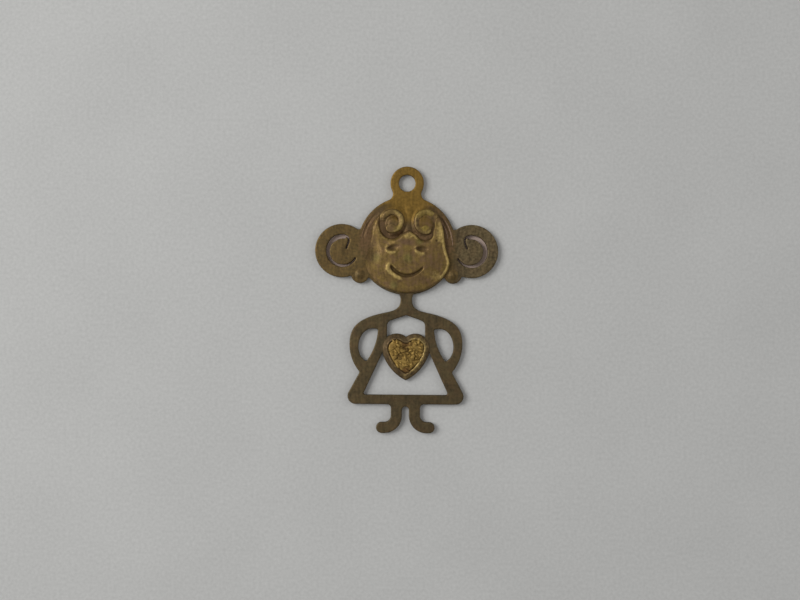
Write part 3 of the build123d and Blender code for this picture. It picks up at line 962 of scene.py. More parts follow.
@dataclass
class PiercedPlate:
    """The flat figure: loop, head, ears, arms, dress frame, legs."""

    dome: HeadDome
    seats: list[Outline] = field(init=False)
    pitch: float = 0.13
    thickness: float = 0.8
    edge_r: float = 0.13
    edge_rings: tuple[float, ...] = (0.02, 0.055, 0.13)
    back_r: float = 0.08

    # Waves of the sheet: height of all, then each one's share, slopes across and up, and start.
    wave_h: float = 0.012
    waves: tuple[tuple[float, ...], ...] = (
        (1.0, 0.71, 0.38, 0.0),
        (1.0, -0.93, 0.52, 1.3),
        (0.5, 1.9, 2.3, 0.0),
    )

    # Hair lines beside the face, with their depth on the left and on the right.
    line_r: float = 6.6
    line_w: float = 0.25
    line_depth: Span = (0.06, 0.15)
    line_turn: Stretch = Stretch(10.0, 13.0, 43.0, 46.0)

    # The ears' slits, closed in along part of their run.
    slit_close: Span = (0.09, 0.045)
    slit_r: Stretch = Stretch(1.2, 1.5, 2.6, 2.9)
    left_slit: Stretch = Stretch(-100.0, -70.0, 30.0, 65.0)
    right_slit: Stretch = Stretch(-20.0, 10.0, 80.0, 100.0)

    # Soft rises under and between the curls, and how far they stay below the dome.
    swell_x: float = 2.3
    swell_up: float = 3.15
    swell_r: Span = (1.55, 0.65)
    swell_right: float = 0.4
    swell_gap: float = 0.2
    cushion_r: Stretch = Stretch(0.7, 1.3, 1.75, 2.7)
    cushion_turn: Span = (32.0, 12.0)
    cushion_ease: Span = (0.0, 26.0)
    cushion_gap: float = 0.36
    bowl_rise: Span = (0.22, 0.44)
    bowl_edge: Span = (1.4, 0.9)
    parting_w: float = 1.1
    parting_up: Stretch = Stretch(0.9, 2.2, 5.0, 6.6)
    parting_gap: float = 0.56
    lead_r: float = 1.75
    lead_w: float = 0.34
    lead_h: float = 0.09

    # Where the finish changes.
    loop_up: Span = (4.2, 7.4)
    brow_up: Span = (1.0, 5.5)
    brow_x: Span = (6.2, 0.6)
    neck_up: Span = (-7.5, -5.0)
    ear_from: Span = (6.4, 8.6)
    glint_w: float = 0.6
    glint_up: Span = (2.6, 4.6)
    # Painted shade in the parting between the curls.
    shade_x: float = 0.3
    shade_w: float = 0.9
    shade_up: Stretch = Stretch(1.2, 2.0, 3.2, 5.2)
    # Painted shade along the outer side of the left curl.
    outside_r: Stretch = Stretch(1.75, 2.05, 2.5, 3.2)
    outside_turn: Span = (150.0, 110.0)
    outside_drop: float = 0.6
    band_r: Span = (8.0, 6.5)
    band_up: Span = (-4.0, 0.5)
    crescent_edge: Span = (1.25, 0.85)
    crescent_x: Span = (0.6, 1.6)
    seat_w: float = 0.2
    seat_x: Span = (0.3, 1.4)
    # The seats' dark lines grow towards the right: painted shade on the side away from the light.
    shade_side_x: Span = (-3.5, 0.0)
    # A dark spot at the end of the left ear's slit: painted shade for the slit's shadowed end.
    slit_end: Spot = Spot(-9.51, -0.8, 0.5)

    # How strongly, with the left's and the right's share where there are two.
    edge_rub: float = 0.2
    edge_rub_w: float = 0.08
    lead_rub: float = 0.5
    ear_rub: float = 0.4
    # Dark lines round the seats: dirt on the left, with painted shade added in the larger right share.
    seat_dirt_and_shade: Span = (0.05, 0.25)
    line_dirt: Span = (0.3, 0.6)
    # Darker rounded edges of the plate: painted shade for the dark that these edges reflect.
    edge_dirt_and_shade: float = 0.3
    edge_dirt_and_shade_w: float = 0.06
    crescent_dirt: Span = (0.35, 0.05)
    # Painted shade in the parting between the curls.
    parting_shade_paint: float = 0.42
    # Painted shade along the outer side of the left curl.
    outside_shade_paint: float = 0.48
    # Painted shade at the end of the left ear's slit.
    slit_end_shade: float = 0.4
    swell_gilt: Span = (0.35, 0.65)
    ear_gilt: Span = (0.4, 0.06)
    glint_gilt: float = 0.7
    lead_gilt: float = 0.8
    crescent_gilt: float = 0.35
    band_stain: float = 0.7
    crescent_stain: Span = (0.7, 0.3)

    def __post_init__(self) -> None:
        """Reads the outlines of the pieces that sit on the plate."""
        nodes = ("face_shell", "heart_setting")
        self.seats = [Outline.under(node, self.pitch, outer_only=True) for node in nodes]

    def build(self) -> bpy.types.Mesh:
        """Builds the plate's mesh.

        Returns:
            The mesh.
        """
        outline = self.closed_in(Outline.under("pierced_plate", self.pitch))
        relief = Relief(outline, self.height, self.masks, 0.0, self.pitch, self.edge_rings, self.back_r)
        return relief.mesh("plate")

    def closed_in(self, outline: Outline) -> Outline:
        """The outline with the ears' slits a little closer where they are widest.

        Args:
            outline: the plate's outline.

        Returns:
            The closer outline.
        """
        across, up = self.dome.from_head(outline.points)
        aside = np.abs(across) - self.dome.ear_x
        above = up + self.dome.ear_drop
        turn = np.degrees(np.arctan2(above, aside))
        left = self.slit_close[0] * self.left_slit.share(turn)
        right = self.slit_close[1] * self.right_slit.share(turn)
        reach = self.slit_r.share(np.hypot(aside, above)) * np.where(across < 0, left, right)
        return outline.grown(reach[:, None])

    def hair_line(self, places: np.ndarray) -> np.ndarray:
        """Share of the hair lines' depth.

        Args:
            places: points of the plate.

        Returns:
            Shares from 0 to 1.
        """
        across, up = self.dome.from_head(places)
        along = self.line_turn.share(np.degrees(np.arctan2(up, np.abs(across))))
        return along * bell(np.hypot(across, up) - self.line_r, self.line_w / 2)

    def swelling(self, places: np.ndarray) -> np.ndarray:
        """Share of the soft rise that fills the curls' rings.

        Args:
            places: points of the plate.

        Returns:
            Shares from 0 to 1.
        """
        across, up = self.dome.from_face(places)
        away = np.hypot(np.abs(across) - self.swell_x, up - self.swell_up)
        return ease(self.swell_r, away - np.where(across > 0, self.swell_right, 0.0))

    def cushion(self, places: np.ndarray) -> np.ndarray:
        """Share of the soft rise under the curls' strands, none in the hollows on their open side.

        Args:
            places: points of the plate.

        Returns:
            Shares from 0 to 1.
        """
        across, up = self.dome.from_face(places)
        radius, turn = self.dome.ring(across, up)
        start = between(self.cushion_turn, self.dome.upper(up))
        return self.cushion_r.share(radius) * ease(self.cushion_ease, turn - start)

    def parting(self, places: np.ndarray) -> np.ndarray:
        """Share of the soft rise between the two curls."""
        across, up = self.dome.from_face(places)
        return bell(across, self.parting_w) * self.parting_up.share(up)

    def leads(self, places: np.ndarray) -> np.ndarray:
        """Share of the soft ridges that lead from the temples into the curls.

        Args:
            places: points of the plate.

        Returns:
            Shares from 0 to 1.
        """
        across, up = self.dome.from_face(places)
        up = up - np.where(across > 0, self.dome.drawn_up(up), 0.0)
        return self.dome.lead(across, up) * bell(self.dome.ring(across, up)[0] - self.lead_r, self.lead_w)

    def height(self, places: np.ndarray, inset: np.ndarray) -> np.ndarray:
        """Height of the front: flat, faintly wavy, rounded at the edges, with the rises and the hair lines.

        Args:
            places: points of the plate.
            inset: their distances from the outline.

        Returns:
            Heights above the back.
        """
        across, up = self.dome.from_face(places)
        right = self.dome.right(across)
        room = self.dome.height(across, up) - self.thickness
        wave = sum(
            share * np.sin(slope_x * places[:, 0] + slope_y * places[:, 1] + start)
            for share, slope_x, slope_y, start in self.waves
        )
        top = self.thickness + self.wave_h * (wave / 2 - 1)
        top += strongest(
            (room - self.swell_gap) * self.swelling(places),
            (room - self.cushion_gap) * self.cushion(places),
            (room - self.parting_gap) * self.parting(places),
            between(self.bowl_rise, right) * ease(self.bowl_edge, self.dome.bowl(across, up)),
        )
        top += self.lead_h * self.leads(places)
        top -= between(self.line_depth, right) * self.hair_line(places)
        return top - round_over(inset, self.edge_r)

    def outside(self, places: np.ndarray) -> np.ndarray:
        """Share of the shade along the outer side of the left curl.

        Args:
            places: points of the plate.

        Returns:
            Shares from 0 to 1.
        """
        across, up = self.dome.from_head(places)
        radius, turn = self.dome.ring(*self.dome.from_face(places))
        beside = self.outside_r.share(radius) * ease(self.outside_turn, turn)
        return beside * (1 - self.dome.right(across)) * self.dome.upper(up + self.outside_drop)

    def crescent(self, places: np.ndarray) -> np.ndarray:
        """Share of the low crescents between the curls and the face.

        Args:
            places: points of the plate.

        Returns:
            Shares from 0 to 1.
        """
        low = 1 - np.maximum(self.swelling(places), self.cushion(places))
        in_bowl = ease(self.crescent_edge, self.dome.bowl(*self.dome.from_face(places)))
        return in_bowl * low * ease(self.crescent_x, np.abs(places[:, 0]))

    def masks(self, places: np.ndarray, inset: np.ndarray) -> dict[str, np.ndarray]:
        """Rubbed edges, dirt along the raised pieces, a golden loop and a brown hair band, with painted
        shade on the dark edges, on the right of the raised pieces, between the curls, beside the left curl
        and at the end of the left ear's slit.

        Args:
            places: points of the plate.
            inset: their distances from the outline.

        Returns:
            Shares by the masks' names.
        """
        across, up = self.dome.from_head(places)
        right = self.dome.right(across)
        leads = self.leads(places)
        crescent = self.crescent(places)
        near = np.min([np.abs(seat.inset(places)) for seat in self.seats], axis=0)
        seat = bell(near, self.seat_w) * ease(self.seat_x, np.abs(across))
        loop = ease(self.loop_up, up)
        brow = ease(self.brow_up, up) * ease(self.brow_x, np.abs(across))
        neck = ease(self.neck_up, up)
        ear = ease(self.ear_from, across) * neck
        glint = bell(across, self.glint_w) * ease(self.glint_up, up)
        shade = bell(across - self.shade_x, self.shade_w) * self.shade_up.share(up)
        band = ease(self.band_r, np.hypot(across, up)) * ease(self.band_up, up)
        return {
            Mask.WEAR.value: strongest(
                self.edge_rub * bell(inset, self.edge_rub_w),
                self.lead_rub * leads,
                self.ear_rub * ear,
            ),
            Mask.GRIME.value: strongest(
                between(self.seat_dirt_and_shade, ease(self.shade_side_x, across)) * seat,
                between(self.line_dirt, right) * self.hair_line(places),
                # Painted shade along the plate's rounded edges.
                self.edge_dirt_and_shade * bell(inset, self.edge_dirt_and_shade_w),
                between(self.crescent_dirt, right) * crescent,
                self.parting_shade_paint * shade,
                self.outside_shade_paint * self.outside(places),
                self.slit_end_shade * self.slit_end.share(across, up),
            ),
            Mask.GILT.value: strongest(
                loop,
                brow,
                between(self.swell_gilt, right) * self.swelling(places),
                between(self.ear_gilt, ear) * neck,
                self.glint_gilt * glint,
                self.lead_gilt * leads,
                self.crescent_gilt * right * crescent,
            ),
            Mask.STAIN.value: (1 - leads) * np.maximum(
                self.band_stain * band * (1 - np.maximum(loop, brow)),
                between(self.crescent_stain, right) * crescent,
            ),
        }


@dataclass
class PressedFace:
    """The smiling face with its rounded rim, cheeks, eyes and mouth."""

    dome: HeadDome
    pitch: float = 0.1
    base_z: float = 0.77
    edge_r: float = 0.4
    edge_rings: tuple[float, ...] = (0.03, 0.08, 0.16, 0.26, 0.4)

    # Fuller than even: the right cheek, the right temple towards its curl, the left temple outwards.
    full_cheek: Spot = Spot(6.2, -2.2, 1.4)
    full_cheek_out: float = 0.27
    temple_out: float = 0.55
    temple_w: float = 0.12
    temple_x: Span = (2.9, 4.0)
    temple_up: Stretch = Stretch(1.0, 2.2, 3.7, 4.6)
    left_temple_out: float = 0.28
    left_temple_x: Span = (-3.4, -4.6)
    left_temple_up: Stretch = Stretch(0.4, 3.0, 3.3, 4.7)
    left_temple_edge: Span = (1.08, 1.25)

    # The edge: flush with the hair on the left, sharp at the right curl, sloped into the bowls.
    flush_w: float = 2.2
    flush_drop: float = 0.42
    flush_x: Span = (-1.5, -3.5)
    flush_up: Span = (1.6, -0.6)
    sharp_r: float = 0.12
    sharp_x: Span = (2.6, 3.6)
    sharp_edge: Span = (1.7, 1.3)
    slope_w: float = 0.55
    slope_drop: float = 0.25
    slope_edge: Span = (1.7, 1.25)
    slope_x: Span = (4.2, 2.6)

    # The roll along the edge, with less of it on the left.
    ridge_h: float = 0.1
    ridge_in: float = 0.26
    ridge_w: float = 0.16
    ridge_x: Span = (2.8, 4.4)
    ridge_edge: Span = (1.2, 1.5)
    right_ridge_up: Span = (-5.4, -4.2)
    left_ridge: float = 0.45
    left_ridge_up: Span = (0.5, 2.0)
    peak_x: Stretch = Stretch(-0.1, 0.3, 1.2, 1.9)
    peak_up: Span = (0.6, 1.2)
    bowl_lip: float = 0.7
    bowl_lip_x: Span = (-1.8, -2.8)
    bowl_lip_up: Stretch = Stretch(0.2, 0.8, 2.4, 3.6)

    # Eyes, with the share of their depth that fades to the right, on the right and on the left.
    eye_x: float = 2.15
    eye_y: float = -0.4
    eye_w: float = 1.8
    eye_h: float = 0.8
    left_eye_tilt: float = 0.22
    eye_wall: Span = (-0.2, 0.3)
    eye_fade: Span = (0.45, 0.75)
    eye_fade_x: Span = (-0.3, 0.9)
    lid_h: float = 0.075
    lid_gap: float = 0.36
    lid_w: float = 0.3
    lid_lean: float = 0.45
    lid_below: Span = (0.3, -0.5)
    lid_reach: Span = (1.4, 0.9)
    lid_left: Span = (1.0, 0.0)

    # Mouth and the roll round its left end.
    mouth_w: float = 4.8
    mouth_y: float = -3.25
    mouth_sag: float = 1.25
    mouth_t: float = 0.46
    mouth_taper: Span = (0.55, 1.0)
    mouth_wall: float = 0.13
    mouth_end: Span = (2.55, 2.3)
    corner_x: float = -2.0
    corner_w: float = 0.4
    corner_t: float = 0.1
    cut_depth: float = 0.3
    lip_h: float = 0.12
    lip_end: float = 0.1
    lip_gap: float = 0.33
    lip_w: float = 0.28
    lip_below: Span = (-0.75, -0.1)
    lip_left: Span = (0.0, -1.3)
    cheek_h: float = 0.1
    cheek: Spot = Spot(3.9, -2.1, 1.6, 1.5)

    # Rubbed bright.
    ridge_rub_w: float = 0.25
    ridge_rub: Span = (0.65, 1.0)
    ridge_rub_x: Span = (-3.0, 0.0)
    lid_rub: float = 0.7
    lip_rub: float = 0.9
    temple: Spot = Spot(4.7, 2.2, 0.65, 1.9)
    temple_rub: Span = (0.1, 0.73)
    temple_rub_x: Span = (-1.0, 1.0)
    peak: Spot = Spot(0.0, 1.4, 0.9, 0.5)
    peak_rub: float = 0.55
    jaw: Spot = Spot(4.4, -4.3, 1.0, 0.9)
    jaw_rub: float = 0.5

    # Dirty, with a painted shade on the left flank.
    cut_dirt: float = 0.7
    eye_dirt: float = 0.5
    edge_dirt_and_shade: float = 0.25
    edge_dirt_and_shade_w: float = 0.06
    edge_dirt_x: Span = (-2.0, 0.0)
    fleck: Spot = Spot(4.2, 0.95, 0.2)
    # A painted shade on the left flank that dims the window's highlight there.
    left_flank_shade: Spot = Spot(-5.6, -1.6, 1.5, 2.6)
    left_flank_shade_amount: float = 0.72
    sharp_dirt: float = 0.6
    sharp_dirt_w: float = 0.14

    # Greenish, then brown with how strongly.
    green: float = 0.65
    green_spots: tuple[Spot, ...] = (
        Spot(-4.7, -2.0, 1.0),
        Spot(0.1, -1.9, 1.0),
        Spot(1.7, 0.7, 0.7),
        Spot(-1.8, -6.0, 0.8),
    )
    brown_spots: tuple[tuple[float, Spot], ...] = (
        (0.6, Spot(3.6, -2.2, 1.8, 1.7)),
        (0.85, Spot(-0.2, 0.45, 1.5, 0.55)),
        (0.7, Spot(-1.5, -0.1, 0.9, 0.45)),
        (0.6, Spot(1.4, -5.0, 2.6, 0.7)),
    )

    def build(self) -> bpy.types.Mesh:
        """Builds the face's mesh.

        Returns:
            The mesh.
        """
        outline = self.swollen(Outline.under("face_shell", self.pitch, outer_only=True))
        relief = Relief(outline, self.height, self.masks, self.base_z, self.pitch, self.edge_rings)
        return relief.mesh("face")

    def swollen(self, outline: Outline) -> Outline:
        """The outline with the right cheek and both temples a little fuller.

        Args:
            outline: the face's outline.

        Returns:
            The fuller outline.
        """
        across, up = self.dome.from_face(outline.points)
        bowl = self.dome.bowl(across, up)
        right = bell(bowl - 1.0, self.temple_w) * ease(self.temple_x, across) * self.temple_up.share(up)
        left = ease(self.left_temple_edge, bowl) * ease(self.left_temple_x, across)
        left *= self.left_temple_up.share(up)
        reach = self.full_cheek_out * self.full_cheek.share(across, up)
        reach += self.temple_out * right + self.left_temple_out * left
        return outline.grown(reach[:, None])

    def eye_depth(self, across: np.ndarray, up: np.ndarray, side: Side) -> np.ndarray:
        """Signed distance inside an eye's almond, roughly.

        Args:
            across: distance from the face's middle line.
            up: height above the middle of the face.
            side: the eye's side.

        Returns:
            Distances, negative outside.
        """
        aside = across - side.value * self.eye_x
        lift = side.pick(0.0, self.left_eye_tilt) * aside
        return self.eye_h / 2 * (1 - (aside / (self.eye_w / 2)) ** 2) - np.abs(up - self.eye_y - lift)

    def eyes(self, across: np.ndarray, up: np.ndarray, even: bool = False) -> np.ndarray:
        """Share of the eyes' depth, which fades to the right.

        Args:
            across: distance from the face's middle line.
            up: height above the middle of the face.
            even: leave out the fading.

        Returns:
            Shares from 0 to 1.
        """
        share = np.zeros_like(across)
        for side in Side:
            fade = 0.0 if even else side.pick(*self.eye_fade)
            shallow = 1 - fade * ease(self.eye_fade_x, across - side.value * self.eye_x)
            share += shallow * ease(self.eye_wall, self.eye_depth(across, up, side))
        return share

    def lids(self, across: np.ndarray, up: np.ndarray) -> np.ndarray:
        """Share of the height of the lid rolls, fullest below and left of each eye.

        Args:
            across: distance from the face's middle line.
            up: height above the middle of the face.

        Returns:
            Shares from 0 to 1.
        """
        roll = np.zeros_like(across)
        for side in Side:
            aside = across - side.value * self.eye_x
            below = ease(self.lid_below, up - self.eye_y + self.lid_lean * aside)
            near = ease(self.lid_reach, np.abs(aside)) * ease(self.lid_left, aside)
            roll += bell(self.eye_depth(across, up, side) + self.lid_gap, self.lid_w) * below * near
        return roll

    def mouth_line(self, across: np.ndarray) -> tuple[np.ndarray, np.ndarray]:
        """Height of the mouth's middle line above the middle of the face, and its slope."""
        bend = self.mouth_sag / (self.mouth_w / 2) ** 2
        return self.mouth_y - self.mouth_sag + bend * across**2, 2 * bend * across

    def mouth(self, across: np.ndarray, up: np.ndarray) -> np.ndarray:
        """Share of the mouth's depth.

        Args:
            across: distance from the face's middle line.
            up: height above the middle of the face.

        Returns:
            Shares from 0 to 1.
        """
        line, slope = self.mouth_line(across)
        middle = np.clip(1 - (across / (self.mouth_w / 2)) ** 2, 0.0, 1.0)
        half = self.mouth_t / 2 * between(self.mouth_taper, middle)
        half += self.corner_t * bell(across - self.corner_x, self.corner_w)
        off = np.abs(up - line) / np.hypot(1.0, slope)
        cut = ease((half + self.mouth_wall, half - self.mouth_wall), off)
        return cut * ease(self.mouth_end, np.abs(across))

    def lips(self, across: np.ndarray, up: np.ndarray) -> np.ndarray:
        """Share of the roll that runs round the mouth's left end and below its left half.

        Args:
            across: distance from the face's middle line.
            up: height above the middle of the face.

        Returns:
            Shares from 0 to 1.
        """
        nearest = np.clip(across, self.lip_end - self.mouth_w / 2, 0.0)
        line, slope = self.mouth_line(nearest)
        below = (line - up) / np.hypot(1.0, slope)
        beyond = np.hypot(across - nearest, below)
        side = ease(self.lip_below, below) * ease(self.lip_left, across)
        return bell(beyond - self.mouth_t / 2 - self.lip_gap, self.lip_w) * side

    def ridge(self, across: np.ndarray, up: np.ndarray, inset: np.ndarray, width: float) -> np.ndarray:
        """Share of the raised roll along the right side of the face, with less of it on the left.

        Args:
            across: distance from the face's middle line.
            up: height above the middle of the face.
            inset: distance from the outline.
            width: the roll's width.

        Returns:
            Shares from 0 to 1.
        """
        outer = ease(self.ridge_edge, self.dome.bowl(across, up))
        right = ease(self.ridge_x, across) * ease(self.right_ridge_up, up)
        left = self.left_ridge * ease(self.ridge_x, -across) * ease(self.left_ridge_up, up)
        peak = self.peak_x.share(across) * ease(self.peak_up, up)
        lip = self.bowl_lip * ease(self.bowl_lip_x, across) * self.bowl_lip_up.share(up) * (1 - outer)
        return bell(inset - self.ridge_in, width) * strongest(right * outer, left * outer, peak, lip)

    def sharp(self, across: np.ndarray, up: np.ndarray) -> np.ndarray:
        """Share of the right temple's side towards the curl."""
        return ease(self.sharp_x, across) * ease(self.sharp_edge, self.dome.bowl(across, up))

    def edge_fall(self, across: np.ndarray, up: np.ndarray, inset: np.ndarray) -> np.ndarray:
        """How far the edge falls below the dome.

        Args:
            across: distance from the face's middle line.
            up: height above the middle of the face.
            inset: distance from the outline.

        Returns:
            Falls.
        """
        flush = ease(self.flush_x, across) * ease(self.flush_up, up)
        sharp = self.sharp(across, up)
        rounded = (1 - sharp) * round_over(inset, self.edge_r) + sharp * round_over(inset, self.sharp_r)
        slope = ease(self.slope_edge, self.dome.bowl(across, up)) * ease(self.slope_x, across)
        fall = (1 - flush) * rounded + flush * self.flush_drop * ease((self.flush_w, 0.0), inset)
        return fall + self.slope_drop * slope * ease((self.slope_w, 0.0), inset)

    def height(self, places: np.ndarray, inset: np.ndarray) -> np.ndarray:
        """Height of the face's front.

        Args:
            places: points of the face.
            inset: their distances from the outline.

        Returns:
            Heights above the back of the charm.
        """
        across, up = self.dome.from_face(places)
        top = self.dome.height(across, up) - self.edge_fall(across, up, inset)
        top += self.ridge_h * self.ridge(across, up, inset, self.ridge_w)
        top += self.cheek_h * self.cheek.share(np.abs(across), up)
        top += self.lid_h * self.lids(across, up) + self.lip_h * self.lips(across, up)
        return top - self.cut_depth * np.maximum(self.eyes(across, up), self.mouth(across, up))

    def masks(self, places: np.ndarray, inset: np.ndarray) -> dict[str, np.ndarray]:
        """Rubbed rolls, dirt in the cuts, painted shade on the left flank, greenish cheeks and brown
        smudges.

        Args:
            places: points of the face.
            inset: their distances from the outline.

        Returns:
            Shares by the masks' names.
        """
        across, up = self.dome.from_face(places)
        ridge = self.ridge(across, up, inset, self.ridge_rub_w)
        temple = self.temple.share(np.abs(across), up)
        cuts = np.maximum(self.eyes(across, up), self.mouth(across, up))
        brown = [share * spot.share(across, up) for share, spot in self.brown_spots]
        return {
            Mask.WEAR.value: strongest(
                between(self.ridge_rub, ease(self.ridge_rub_x, across)) * ridge,
                self.lid_rub * self.lids(across, up),
                self.lip_rub * self.lips(across, up),
                between(self.temple_rub, ease(self.temple_rub_x, across)) * temple,
                self.peak_rub * self.peak.share(across, up),
                self.jaw_rub * self.jaw.share(across, up),
            ),
            Mask.GRIME.value: strongest(
                self.cut_dirt * cuts,
                self.eye_dirt * self.eyes(across, up, even=True),
                self.edge_dirt_and_shade * ease(self.edge_dirt_x, across) * bell(inset, self.edge_dirt_and_shade_w),
                self.fleck.share(across, up),
                # Painted shade on the left flank.
                self.left_flank_shade_amount * self.left_flank_shade.share(across, up),
                self.sharp_dirt * self.sharp(across, up) * bell(inset, self.sharp_dirt_w),
            ),
            Mask.GILT.value: self.green * sum(spot.share(across, up) for spot in self.green_spots),
            Mask.STAIN.value: strongest(*brown),
        }


@dataclass
class FringeCurl:
    """A forehead curl: a rounded strand, fullest towards the parting, that winds in to a ball."""

    dome: HeadDome
    side: Side
    pitch: float = 0.08
    base_z: float = 0.77
    grow: float = 0.05
    edge_r: float = 0.16
    edge_rings: tuple[float, ...] = (0.03, 0.08, 0.16, 0.24)
    sink: float = 0.14
    lead_sink: float = 0.12
    crest_r: float = 1.55
    outer_w: float = 0.34
    inner_w: float = 0.8
    fall: float = 0.22
    fall_most: float = 1.3
    ball_x: float = 2.5
    ball_up: float = 2.6
    ball_r: float = 0.95
    ball_ease: Span = (0.0, 0.9)

    # The finish, with the right curl's value before the left one's where there are two.
    crest_w: float = 0.55
    crest_in: Span = (0.05, 0.2)
    inward_x: Span = (0.0, 0.5)
    top_rub: Span = (0.75, 0.1)
    inner_rub: Span = (0.4, 0.7)
    yellow_spots: tuple[Spot, Spot] = (Spot(2.34, 2.77, 0.75), Spot(-1.49, 2.54, 0.75))
    yellow: Span = (0.9, 0.75)
    top_up: Span = (3.5, 4.5)
    top_gilt: Span = (0.6, 0.3)

    @property
    def node(self) -> str:
        """Name of the curl's CAD node."""
        return f"curl_{self.side.label}"

    def build(self) -> bpy.types.Mesh:
        """Builds the curl's mesh.

        Returns:
            The mesh.
        """
        outline = self.lifted(Outline.under(self.node, self.pitch, outer_only=True).grown(self.grow))
        relief = Relief(outline, self.height, self.masks, self.base_z, self.pitch, self.edge_rings)
        return relief.mesh(self.node)

    def lifted(self, outline: Outline) -> Outline:
        """The outline, on the right with its upper half drawn up."""
        up = self.dome.from_face(outline.points)[1]
        return Outline([outline.points + np.column_stack([np.zeros(len(up)), self.raised(up)])])

    def raised(self, up: np.ndarray) -> np.ndarray:
        """How far the ring's upper half is drawn up."""
        return self.side.pick(1.0, 0.0) * self.dome.drawn_up(up)

    def own(self, places: np.ndarray) -> tuple[np.ndarray, np.ndarray]:
        """Places seen from the middle of the face, with the drawn-up half taken down again."""
        across, up = self.dome.from_face(places)
        return across, up - self.raised(up)

    def ball(self, across: np.ndarray, up: np.ndarray) -> np.ndarray:
        """Share of the ball's rise."""
        away = np.hypot(across - self.side.value * self.ball_x, up - self.ball_up)
        return np.clip(1 - (away / self.ball_r) ** 2, 0.0, 1.0)

    def off_crest(self, across: np.ndarray, up: np.ndarray) -> np.ndarray:
        """How far places are from the strand's crest, 1 at the foot of either flank."""
        beyond = self.dome.ring(across, up)[0] - self.crest_r
        return np.where(beyond > 0, beyond / self.outer_w, -beyond / self.inner_w)

    def height(self, places: np.ndarray, inset: np.ndarray) -> np.ndarray:
        """Height of the strand's front.

        Args:
            places: points of the curl.
            inset: their distances from the outline.

        Returns:
            Heights above the back of the charm.
        """
        across, up = self.own(places)
        strand = 1 - ease(self.ball_ease, self.ball(across, up))
        top = self.dome.height(across, up) - self.sink - round_over(inset, self.edge_r)
        top -= self.lead_sink * self.dome.lead(across, up)
        return top - self.fall * np.minimum(self.off_crest(across, up) ** 2, self.fall_most) * strand

    def masks(self, places: np.ndarray, inset: np.ndarray) -> dict[str, np.ndarray]:
        """A rubbed crest and a yellow patch where the strand winds in.

        Args:
            places: points of the curl.
            inset: their distances from the outline.

        Returns:
            Shares by the masks' names.
        """
        across, up = self.own(places)
        crest = bell(self.off_crest(across, up), self.crest_w) * ease(self.crest_in, inset)
        rub_and_highlight = (self.side.pick(*self.top_rub), self.side.pick(*self.inner_rub))
        inward = ease(self.inward_x, self.dome.bowl_x - np.abs(across))
        yellow = self.side.pick(*self.yellow_spots).share(across, up)
        return {
            Mask.WEAR.value: crest * between(rub_and_highlight, inward) * (1 - self.dome.lead(across, up)),
            Mask.GILT.value: np.maximum(
                self.side.pick(*self.yellow) * yellow,
                self.side.pick(*self.top_gilt) * ease(self.top_up, up),
            ),
        }


@dataclass
class EarStud:
    """The small dome on an ear lobe, with a painted highlight on its right and painted shade on its left."""

    side: Side
    pitch: float = 0.07
    base_z: float = 0.77
    edge_rings: tuple[float, ...] = (0.02, 0.06)
    rise: float = 0.3
    dome_in: Span = (-0.1, 0.85)
    lobe_x: float = 6.95
    # Painted highlight on the right and painted shade on the left: the light and shade of a dimple lit from
    # the left.
    rub_and_highlight: float = 0.35
    highlight_in: Span = (0.2, 0.7)
    highlight_x: Span = (-0.1, 0.5)
    dirt: float = 0.5
    shade_spot: Spot = Spot(-0.3, 0.6, 0.4)
    gilt: float = 0.4

    @property
    def node(self) -> str:
        """Name of the stud's CAD node."""
        return f"ear_stud_{self.side.label}"

    def build(self) -> bpy.types.Mesh:
        """Builds the stud's mesh.

        Returns:
            The mesh.
        """
        outline = Outline.under(self.node, self.pitch)
        relief = Relief(outline, self.height, self.masks, self.base_z, self.pitch, self.edge_rings)
        return relief.mesh(self.node)

    def height(self, places: np.ndarray, inset: np.ndarray) -> np.ndarray:
        """Height of the dome above the back of the charm."""
        return self.base_z + self.rise * ease(self.dome_in, inset)

    def masks(self, places: np.ndarray, inset: np.ndarray) -> dict[str, np.ndarray]:
        """A painted highlight on the right side, painted shade on the left one and a little gilding.

        Args:
            places: points of the stud.
            inset: their distances from the outline.

        Returns:
            Shares by the masks' names.
        """
        aside = places[:, 0] - self.side.value * self.lobe_x
        return {
            # Painted highlight on the right side, painted shade on the left.
            Mask.WEAR.value: self.rub_and_highlight * ease(self.highlight_in, inset) * ease(self.highlight_x, aside),
            Mask.GRIME.value: self.dirt * self.shade_spot.share(aside, inset),
            Mask.GILT.value: np.full(len(inset), self.gilt),
        }


